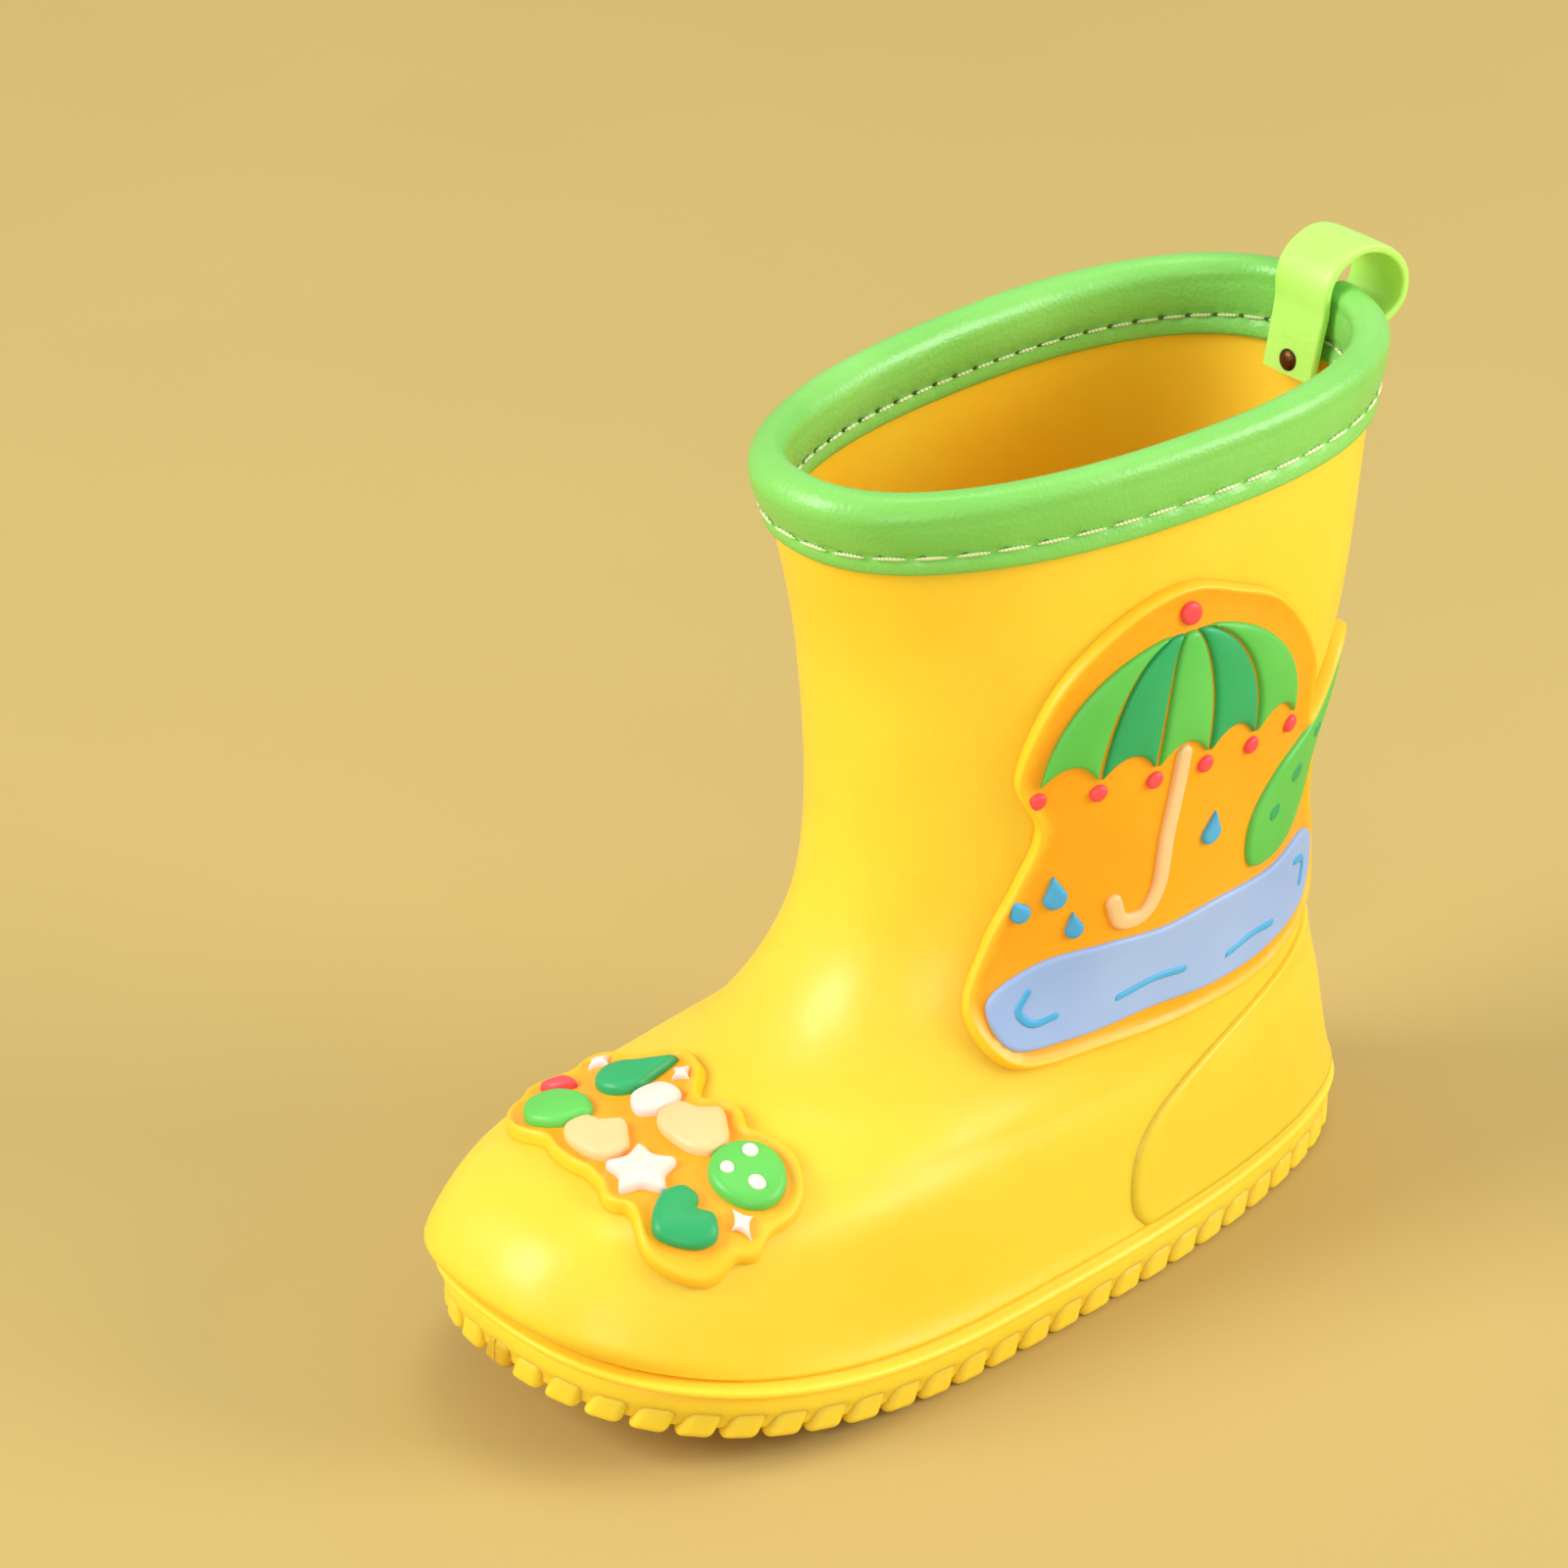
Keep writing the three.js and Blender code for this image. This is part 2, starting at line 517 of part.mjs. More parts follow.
/** A cloud of three lobes. */
function cloud(x, y, w) {
  return blob([[-0.5, -0.15], [-0.44, 0.16], [-0.22, 0.24], [-0.02, 0.42], [0.24, 0.3], [0.44, 0.14], [0.5, -0.14],
    [0.3, -0.32], [-0.3, -0.32]].map(([a, b]) => [x + a * w, y + b * w]), 2);
}

/** A line drawn with round-cornered width. */
function stroke(corners, width) {
  const line = new THREE.CatmullRomCurve3(corners.map(([x, y]) => new THREE.Vector3(x, y, 0)), false, 'centripetal');
  const count = corners.length * 3;
  const side = (sign) => turns(count, 0, 1, false).map((u) => {
    const p = line.getPoint(u);
    const t = line.getTangent(u);
    return new THREE.Vector2(p.x - sign * t.y * width / 2, p.y + sign * t.x * width / 2);
  });
  return new THREE.Shape([...side(1), ...side(-1).reverse()]);
}

const UMBRELLA = { x: -5, top: 36, brim: 13, reach: 25, gores: 5, seam: 0.5, scallop: 3.2 };
const ribEnd = (k) => UMBRELLA.x - UMBRELLA.reach + 2 * UMBRELLA.reach * k / UMBRELLA.gores;

/** One cloth panel of the umbrella, between two ribs. */
function gore(k) {
  const { x, top, brim, seam, scallop } = UMBRELLA;
  const rib = (end) => turns(5, 0.2, Math.PI / 2, false).map((a) =>
    new THREE.Vector2(x + (end - x) * Math.sin(a), brim + (top - brim) * Math.cos(a)));
  const left = rib(ribEnd(k) + seam / 2 + 0.1).map((p) => p.setX(p.x + 0.12 * (k - 2)));
  const right = rib(ribEnd(k + 1) - seam / 2 - 0.1).map((p) => p.setX(p.x + 0.12 * (k - 2)));
  const middle = (left.at(-1).x + right.at(-1).x) / 2;
  const hem = new THREE.QuadraticBezierCurve(right.at(-1), new THREE.Vector2(middle, brim + scallop * 2), left.at(-1));
  return new THREE.Shape([...left.reverse(), ...right, ...hem.getPoints(5).slice(1, -1)]);
}

function addSideBadge() {
  const plateTop = BADGE_BACK + BADGE_PLATE;
  const face = plateTop + GAP;
  const add = (name, shape, colour, segments) =>
    addPiece(name, inlay(shape, onSide, face, SIDE_INLAY, segments), colour);
  const mark = (name, shape, colour) =>
    addPiece(name, inlay(shape, onSide, face + SIDE_INLAY + GAP, SPOT, 4), colour);
  addPiece('side_badge_base', inlay(blob([[-5, 43.5], [-17, 40.5], [-29, 30], [-34, 14], [-29, 4.5], [-31, -5],
    [-35, -15], [-37, -26], [-27, -36], [-8, -37.5], [14, -38.5], [34, -37.8], [47, -32.5], [48.5, -23], [42, -15],
    [41, -2], [43.5, 9], [45, 18], [39, 17], [28, 8], [24, 22], [14, 36], [5, 40.5]], 2),
  onSide, BADGE_BACK, BADGE_PLATE, 5, PLATE_EDGE), 'amber');
  for (let k = 0; k < UMBRELLA.gores; k += 1) {
    add(`umbrella_panel_${k + 1}`, gore(k), k % 2 ? 'darkGreen' : 'green');
  }
  for (let k = 0; k <= UMBRELLA.gores; k += 1) {
    add(`umbrella_rib_tip_${k + 1}`, disc(ribEnd(k), UMBRELLA.brim - 2.4, 1.5), 'coral', 6);
  }
  add('umbrella_finial', disc(UMBRELLA.x, UMBRELLA.top + 2.6, 2), 'coral', 6);
  const { x, brim } = UMBRELLA;
  add('umbrella_pole', stroke([[x, brim + 1.2], [x, 0], [x, -11], [x - 2.4, -15], [x - 6.4, -15], [x - 8.4, -11]], 2.8),
    'peach');
  add('leaf_blade', blob([[17, -15], [15, -6], [20, 2], [30, 7], [41.5, 15], [37, 2], [34, -8], [27, -15]]), 'green');
  mark('leaf_spot_1', disc(20.5, -6, 1.7), 'darkGreen');
  mark('leaf_spot_2', disc(26, -1, 1.9), 'darkGreen');
  mark('leaf_spot_3', disc(31.5, 4.4, 1.5), 'darkGreen');
  add('puddle', blob([[-33.5, -25], [-26, -19.5], [-14, -18.5], [-2, -19], [10, -18], [24, -18.5], [37, -18],
    [45.5, -24], [42, -31], [30, -34], [14, -34.5], [0, -33.5], [-16, -34], [-28, -33]]), 'puddle');
  mark('puddle_ripple_1', stroke([[-27, -24], [-28, -27], [-25, -29.5], [-21, -29]], 1.3), 'water');
  mark('puddle_ripple_2', stroke([[-9, -29], [-2, -28], [5, -28.6]], 1.3), 'water');
  mark('puddle_ripple_3', stroke([[16, -30], [22, -29], [28, -29.6]], 1.3), 'water');
  mark('puddle_ripple_4', stroke([[33, -21.5], [37, -23], [37.5, -27]], 1.3), 'water');
  add('rain_drop_1', drop(-24, -8, 2, 0.2), 'water');
  add('rain_drop_2', drop(-29.5, -10, 1.7, 0.6), 'water');
  add('rain_drop_3', drop(-20, -14.4, 1.6, 0.2), 'water');
  add('rain_drop_4', drop(5, -4, 2, 0), 'water');
}

function addToeBadge() {
  const face = BADGE_BACK + BADGE_PLATE + GAP;
  const add = (name, shape, colour, segments) =>
    addPiece(name, inlay(shape, onToe, face, TOE_INLAY, segments), colour);
  const mark = (name, shape, colour) =>
    addPiece(name, inlay(shape, onToe, face + TOE_INLAY + GAP, SPOT, 4), colour);
  addPiece('toe_badge_base', inlay(blob([[-26, 12], [-14, 17], [-4, 16.5], [8, 13.5], [18, 14.5], [24.5, 8],
    [26, -2], [24.5, -11], [16, -16], [4, -15.5], [-8, -16], [-20, -14], [-27, -6], [-28.5, 4]], 2),
  onToe, BADGE_BACK, BADGE_PLATE, 5, PLATE_EDGE), 'amber');
  add('toe_icon_raindrop', drop(-15, 6, 4.2, -0.3), 'darkGreen');
  add('toe_icon_pebble', blob([[-9, 3.5], [-8, 8.5], [-4, 9], [-2.6, 4.5], [-5, 1.5]]), 'white');
  add('toe_icon_cloud_upper', cloud(4.6, 5.6, 12.4), 'peach');
  add('toe_icon_ball', disc(17.6, 5.6, 5.6), 'green', 9);
  mark('toe_ball_spot_1', disc(15.4, 8, 1.2), 'white');
  mark('toe_ball_spot_2', disc(20.2, 5.2, 1.3), 'white');
  mark('toe_ball_spot_3', disc(15.8, 3, 1), 'white');
  add('toe_icon_leaf', blob([[-21.5, -8], [-20.5, -3.5], [-15.5, -1.8], [-11.2, -4], [-12.4, -9], [-17, -11.4]]), 'green');
  add('toe_leaf_crest', blob([[-25, -3], [-23.6, 0.8], [-20.4, 0.4], [-22.4, -2.6]], 2), 'coral');
  add('toe_icon_cloud_lower', cloud(-4.4, -7, 11.4), 'peach');
  add('toe_icon_flower', blob(turns(10).map((a, i) =>
    [7.2 + Math.cos(a) * (i % 2 ? 3.6 : 5.4), -7.4 + Math.sin(a) * (i % 2 ? 3.6 : 5.4)]), 2), 'white');
  add('toe_icon_heart', blob([[18.4, -13], [14, -8.4], [14.6, -4.6], [17.4, -4.2], [18.6, -5.6], [20.6, -4],
    [23, -5.4], [22.4, -9]], 2), 'darkGreen');
  add('toe_sparkle_1', sparkle(-23.4, 7.6, 2.4), 'white');
  add('toe_sparkle_2', sparkle(-8.4, 13, 2.2), 'white');
  add('toe_sparkle_3', sparkle(23.4, 0, 2.2), 'white');
}

// ---------------------------------------------------------------- assembly
addPiece('upper_shell', upperShell(), 'yellow');
addPiece('outsole', outsole(), 'soleYellow');
addPiece('heel_counter', heelCounter(), 'yellow');
addPiece('collar_binding', collarBinding(), 'lime');
addPiece('needle_thread', seamThread(TAPE_OUT + GAP + THREAD_RADIUS), 'thread');
addPiece('bobbin_thread', seamThread(TAPE_IN - GAP - THREAD_RADIUS), 'thread');
addPullLoop();
addRivet();
const insoleBottom = SOLE_THICKNESS + GAP + FLOOR + GAP;
addPiece('insole_foam', insoleLayer(insoleBottom, INSOLE.foam), 'foam');
addPiece('insole_cover', insoleLayer(insoleBottom + INSOLE.foam + GAP, INSOLE.cover), 'lining');
addPiece('size_tag', sizeTag(), 'tagWhite');
addSideBadge();
addToeBadge();

export default boot;
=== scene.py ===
"""A child's rubber rain boot for the left foot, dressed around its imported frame.

The boot is a moulded shell on a lugged outsole, with a stitched collar binding, a riveted pull loop, a
loose insole and two soft rubber badges. Shapes are worked out in millimetres on one surface, the last, and
are brought to metres when their mesh is made.
"""
import logging
import math
from dataclasses import dataclass
from enum import Enum
from typing import Callable, Sequence

import bmesh
import bpy
import numpy as np
from mathutils import Matrix, Vector
from mathutils.geometry import delaunay_2d_cdt


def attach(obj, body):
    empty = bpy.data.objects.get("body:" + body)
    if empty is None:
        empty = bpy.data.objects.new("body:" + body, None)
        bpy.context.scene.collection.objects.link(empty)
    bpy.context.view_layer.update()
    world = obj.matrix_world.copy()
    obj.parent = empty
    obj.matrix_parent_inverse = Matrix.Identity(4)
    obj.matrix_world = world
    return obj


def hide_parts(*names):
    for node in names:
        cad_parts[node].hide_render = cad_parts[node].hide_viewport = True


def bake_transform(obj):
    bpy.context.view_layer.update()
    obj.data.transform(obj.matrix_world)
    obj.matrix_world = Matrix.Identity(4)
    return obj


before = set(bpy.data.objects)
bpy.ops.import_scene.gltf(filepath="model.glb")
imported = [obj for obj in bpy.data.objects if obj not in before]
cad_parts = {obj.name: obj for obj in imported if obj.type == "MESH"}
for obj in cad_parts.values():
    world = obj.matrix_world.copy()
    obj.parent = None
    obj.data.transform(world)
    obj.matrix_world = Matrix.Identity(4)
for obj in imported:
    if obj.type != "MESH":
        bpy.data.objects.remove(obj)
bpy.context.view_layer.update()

MM = 0.001
TAU = 2 * math.pi
Place = Callable[[np.ndarray, np.ndarray, np.ndarray], np.ndarray]   # flat u, v and an offset to points
Profile = Callable[[np.ndarray], np.ndarray]                         # a height or a share by depth
log = logging.getLogger("rain_boot")


# ---------------------------------------------------------------- the last
def squared_circle(angle: np.ndarray, square: np.ndarray) -> tuple[np.ndarray, np.ndarray]:
    """How far a circle of radius 1, squared by an exponent, reaches forwards and sideways at an angle."""
    c, s = np.cos(angle), np.sin(angle)
    r = (np.abs(c) ** square + np.abs(s) ** square) ** (-1 / square)
    return r * c, r * s


@dataclass(frozen=True)
class Last:
    """The boot's outer surface, which every other piece is placed on. Sizes are in millimetres.

    Sections run from the sole edge to the rim. Angle 0 is the toe, and a quarter turn is the outer side.
    Rises are heights above the sole edge.
    """

    sole_thickness: float = 11.0
    toe_reach: float = 87.0
    heel_reach: float = 88.5
    sole_width: float = 74.0
    toe_spring: float = 12.0
    spring_start: float = 15.0
    spring_fade: float = 40.0
    rim_height: float = 149.5
    rim_width: float = 62.5
    rim_front: float = 25.5
    rim_back: float = 89.5
    rim_tilt: float = 2.0
    tilt_rise: float = 101.0
    ankle_front: float = 22.5
    ankle_width: float = 60.0
    wall: float = 2.2
    floor: float = 2.6
    gap: float = 0.3
    side_badge_rise: float = 75.0
    toe_badge_aside: float = 3.0
    toe_badge_back: float = 30.0

    @property
    def rows(self) -> np.ndarray:
        """Height, front, back, width, shift, squareness and flare of each section.

        Returns:
            One row for each section, from the sole edge to the rim.
        """
        sole, toe, heel = self.sole_thickness, self.toe_reach, self.heel_reach
        ankle, width = self.ankle_front, self.ankle_width
        return np.array([
            (sole, toe, heel, self.sole_width, 0, 2.6, 0.24),
            (sole + 6, toe + 4.5, heel - 2.5, self.sole_width - 2.5, 0, 2.6, 0.17),
            (sole + 22, toe - 5, heel - 6, self.sole_width - 5, 0, 2.5, 0.1),
            (sole + 29.5, toe - 25, heel - 7.5, width + 4.5, 0, 2.4, 0.08),
            (sole + 36.5, toe - 48.5, heel - 9, width + 1, 0.3, 2.3, 0.05),
            (sole + 51, ankle, heel - 11, width, 0.3, 2.2, 0.01),
            (sole + 70, ankle - 6, heel - 12, width + 3.5, 0, 2.1, -0.02),
            (sole + self.tilt_rise, ankle - 6.5, heel - 6.5, width + 10, -0.6, 2.25, -0.06),
            (self.rim_height, self.rim_front, self.rim_back, self.rim_width, 0, 2.3, -0.09),
        ])

    @property
    def rim(self) -> int:
        """The index of the rim's section."""
        return len(self.rows) - 1

    def section(self, index: np.ndarray) -> list[np.ndarray]:
        """Reads the sections at fractional indices, on a Catmull-Rom curve.

        Args:
            index: Section indices, from 0 at the sole edge to the rim's.

        Returns:
            The seven columns of the sections there.
        """
        rows = self.rows
        whole = np.clip(np.floor(index).astype(int), 0, self.rim - 1)
        share = (np.asarray(index) - whole)[..., None]
        padded = np.vstack([2 * rows[0] - rows[1], rows, 2 * rows[-1] - rows[-2]])
        a, b, c, d = (padded[whole + k] for k in range(4))
        value = (2 * b + (c - a) * share + (2 * a - 5 * b + 4 * c - d) * share ** 2
                 + (3 * b - a - 3 * c + d) * share ** 3) / 2
        return list(np.moveaxis(value, -1, 0))

    def spring(self, y: np.ndarray, z: np.ndarray) -> np.ndarray:
        """The toe's rise at a place along the foot, fading to half of it with height."""
        run = np.clip((-y - self.spring_start) / (self.toe_reach - self.spring_start), 0, None)
        fade = np.clip((z - self.sole_thickness) / self.spring_fade, 0, 1)
        return self.toe_spring * run ** 2 * (1 - 0.5 * fade)

    def surface(self, index: np.ndarray, angle: np.ndarray) -> np.ndarray:
        """Points of the outer surface.

        Args:
            index: Section indices.
            angle: Angles round the boot, in radians.

        Returns:
            Points in millimetres, with the coordinates last.
        """
        index, angle = np.broadcast_arrays(np.asarray(index, float), np.asarray(angle, float))
        z, front, back, width, shift, square, flare = self.section(index)
        forward, side = squared_circle(angle, square)
        x = side * width / 2 * (1 + flare * forward) + shift
        y = (back - front) / 2 - forward * (back + front) / 2
        start = self.sole_thickness + self.tilt_rise
        ramp = np.clip((z - start) / (self.rim_height - start), 0, 1)
        tilt = math.tan(math.radians(self.rim_tilt)) * (y - (self.rim_back - self.rim_front) / 2)
        return np.stack([x, y, z + self.spring(y, z) + tilt * ramp * ramp * (3 - 2 * ramp)], axis=-1)

    def skin(self, index: np.ndarray, angle: np.ndarray, offset: np.ndarray) -> np.ndarray:
        """The outer surface moved outwards along its normal by an offset.

        Args:
            index: Section indices.
            angle: Angles round the boot, in radians.
            offset: Distances off the surface.

        Returns:
            Points in millimetres.
        """
        step = 0.004
        here = np.clip(index, step, self.rim - step)
        up = self.surface(here + step, angle) - self.surface(here - step, angle)
        angle = np.asarray(angle)
        along = self.surface(here, angle + step) - self.surface(here, angle - step)
        out = np.cross(along, up)
        out /= np.linalg.norm(out, axis=-1, keepdims=True)
        return self.surface(index, angle) + out * np.asarray(offset)[..., None]

    def index_at(self, height: np.ndarray) -> np.ndarray:
        """The section indices at heights above the ground."""
        table = np.linspace(0, self.rim, 1601)
        return np.interp(height, self.section(table)[0], table)

    def footprint(self, angle: np.ndarray, margin: np.ndarray, height: np.ndarray) -> np.ndarray:
        """The sole's outline drawn in or out by a margin, at a height, with the toe's rise.

        Args:
            angle: Angles round the sole.
            margin: How far outside the outline, or inside it if negative.
            height: Heights above the ground plane.

        Returns:
            Points in millimetres.
        """
        angle, margin, height = np.broadcast_arrays(angle, margin, height)
        _, front, back, width, _, square, flare = self.rows[0]
        forward, side = squared_circle(angle, square)
        y = (back - front) / 2 - forward * ((back + front) / 2 + margin)
        x = side * (width / 2 + margin) * (1 + flare * forward)
        return np.stack([x, y, height + self.spring(y, np.zeros_like(y))], axis=-1)

    def half_width(self, y: np.ndarray, margin: float) -> np.ndarray:
        """Half the sole's width at places along the foot, drawn in by a margin."""
        _, front, back, width, _, square, flare = self.rows[0]
        along = np.clip(((back - front) / 2 - y) / ((back + front) / 2 + margin), -1, 1)
        return (1 - np.abs(along) ** square) ** (1 / square) * (width / 2 + margin) * (1 + flare * along)

    def beside_rim(self, angle: np.ndarray, offset: np.ndarray, height: np.ndarray) -> np.ndarray:
        """Places beside the rim: offset outwards from the shell, and height above or below the rim edge.

        Args:
            angle: Angles round the rim.
            offset: Distances off the shell's outer face.
            height: Heights from the rim edge; above it, points rise straight up.

        Returns:
            Points in millimetres.
        """
        angle, offset, height = np.broadcast_arrays(np.asarray(angle, float), offset, height)
        index = np.where(height > 0, self.rim, self.index_at(self.rim_height + np.minimum(height, 0)))
        points = self.skin(index, angle, offset)
        points[..., 2] += np.maximum(height, 0)
        return points

    def on_side(self, u: np.ndarray, v: np.ndarray, offset: np.ndarray) -> np.ndarray:
        """The shell's side: u towards the heel from its outermost line, v up from the badge's centre.

        Args:
            u: Distances along the wall.
            v: Heights.
            offset: Distances off the wall.

        Returns:
            Points in millimetres.
        """
        index = self.index_at(self.sole_thickness + self.side_badge_rise + v)
        sweep = np.linspace(-0.2, math.pi, 241)
        line = self.surface(index[:, None], sweep[None, :])
        run = np.cumsum(np.linalg.norm(np.diff(line, axis=1), axis=-1), axis=1)
        run = np.hstack([np.zeros((len(run), 1)), run])
        angle = np.empty(len(index))
        for k, row in enumerate(run):
            angle[k] = np.interp(u[k] + np.interp(math.pi / 2, sweep, row), row, sweep)
        return self.skin(index, angle, offset)

    def on_toe(self, u: np.ndarray, v: np.ndarray, offset: np.ndarray) -> np.ndarray:
        """The vamp over a place in plan, measured from the toe badge's centre.

        Args:
            u: Distances towards the outer side.
            v: Distances towards the heel.
            offset: Offsets outwards from the vamp.

        Returns:
            Points in millimetres; the section that passes over each place is found by halving.
        """
        x, y = u + self.toe_badge_aside, v - (self.toe_reach - self.toe_badge_back)
        low, high = np.full(len(x), 1.0), np.full(len(x), 5.0)
        for _ in range(24):
            middle = (low + high) / 2
            _, front, back, width, shift, square, flare = self.section(middle)
            along = ((back - front) / 2 - y) / ((back + front) / 2)
            across = (x - shift) / (width / 2) / (1 + flare * along)
            inside = np.abs(across) ** square + np.abs(along) ** square < 1
            low, high = np.where(inside, middle, low), np.where(inside, high, middle)
        return self.skin(low, np.arctan2(across, along), offset)


LAST = Last()


# ---------------------------------------------------------------- finishes
def srgb(colour: Sequence[int]) -> tuple[float, float, float, float]:
    """A display colour, 0 to 255, as the linear colour that a shader takes."""
    parts = [c / 255 for c in colour]
    return (*[p / 12.92 if p <= 0.04045 else ((p + 0.055) / 1.055) ** 2.4 for p in parts], 1.0)


class Skin(Enum):
    """The surface texture of a finish."""

    MOULDED = "moulded"
    LEATHERETTE = "leatherette"
    CUT_EDGE = "cut_edge"
    TWISTED = "twisted"
    KNITTED = "knitted"
    CAST = "cast"
    PLAIN = "plain"


class Tree:
    """A short hand for building one shader node tree."""

    def __init__(self, name: str) -> None:
        """Starts a material with an empty tree and its output.

        Args:
            name: The material's name.
        """
        self.material = bpy.data.materials.new(name)
        self.material.use_nodes = True
        self.nodes = self.material.node_tree.nodes
        self.links = self.material.node_tree.links
        self.nodes.clear()
        self.output = self.nodes.new("ShaderNodeOutputMaterial")
        self.place = self.nodes.new("ShaderNodeTexCoord").outputs["Object"]

    def add(self, kind: str, inputs: dict[str, object], **settings: object) -> bpy.types.Node:
        """Adds a node.

        Args:
            kind: The node's type name.
            inputs: Values or sockets for its inputs, by name.
            settings: Properties of the node.

        Returns:
            The new node.
        """
        node = self.nodes.new(kind)
        for key, value in settings.items():
            setattr(node, key, value)
        for key, value in inputs.items():
            self.feed(node.inputs[key], value)
        return node

    def feed(self, socket: bpy.types.NodeSocket, value: object) -> None:
        """Links a socket into an input, or sets the input's value.

        Args:
            socket: The input.
            value: A socket or a plain value.
        """
        if isinstance(value, bpy.types.NodeSocket):
            self.links.new(value, socket)
        else:
            socket.default_value = value

    def noise(self, scale: float, detail: float) -> bpy.types.NodeSocket:
        """Fractal noise on object coordinates, at a scale in features per metre."""
        inputs = {"Vector": self.place, "Scale": scale, "Detail": detail}
        return self.add("ShaderNodeTexNoise", inputs).outputs["Fac"]

    def bands(self, scale: float, direction: str, distortion: float = 0.0) -> bpy.types.NodeSocket:
        """Parallel bands on object coordinates."""
        inputs = {"Vector": self.place, "Scale": scale, "Distortion": distortion}
        return self.add("ShaderNodeTexWave", inputs, wave_type="BANDS",
                        bands_direction=direction).outputs["Fac"]

    def remap(self, value: bpy.types.NodeSocket, low: float, high: float, to_low: float,
              to_high: float) -> bpy.types.NodeSocket:
        """Maps a range of values onto another, clamped."""
        inputs = {"Value": value, "From Min": low, "From Max": high, "To Min": to_low, "To Max": to_high}
        return self.add("ShaderNodeMapRange", inputs).outputs["Result"]

    def blend(self, share: object, first: object, second: object) -> bpy.types.NodeSocket:
        """Mixes two colours by a share.

        Args:
            share: How much of the second colour shows.
            first: A colour or a socket.
            second: A colour or a socket.

        Returns:
            The mixed colour.
        """
        node = self.add("ShaderNodeMix", {}, data_type="RGBA")
        for number, value in ((0, share), (6, first), (7, second)):   # the factor and the two colours
            self.feed(node.inputs[number], value)
        return node.outputs[2]

    def math(self, operation: str, first: object, second: object) -> bpy.types.NodeSocket:
        """One step of arithmetic on two values or sockets.

        Args:
            operation: The name of the operation.
            first: A value or a socket.
            second: A value or a socket.

        Returns:
            The result.
        """
        node = self.add("ShaderNodeMath", {}, operation=operation)
        for socket, value in zip(node.inputs, (first, second)):
            self.feed(socket, value)
        return node.outputs[0]

    def attribute(self, name: str) -> bpy.types.NodeSocket:
        """A mesh attribute's value."""
        return self.add("ShaderNodeAttribute", {}, attribute_name=name).outputs["Fac"]

    def bump(self, height: bpy.types.NodeSocket, distance: float, strength: float,
             below: object = None) -> bpy.types.NodeSocket:
        """A bump of a real depth in metres, on top of another one.

        Args:
            height: The pattern, 0 to 1.
            distance: Its depth in metres.
            strength: How much of it shows.
            below: The normal under it.

        Returns:
            The bent normal.
        """
        inputs = {"Height": height, "Distance": distance, "Strength": strength}
        if below is not None:
            inputs["Normal"] = below
        return self.add("ShaderNodeBump", inputs).outputs["Normal"]

    def surface(self, inputs: dict[str, object]) -> None:
        """Ends the tree with one surface shader."""
        shader = self.add("ShaderNodeBsdfPrincipled", inputs)
        self.links.new(shader.outputs[0], self.output.inputs["Surface"])


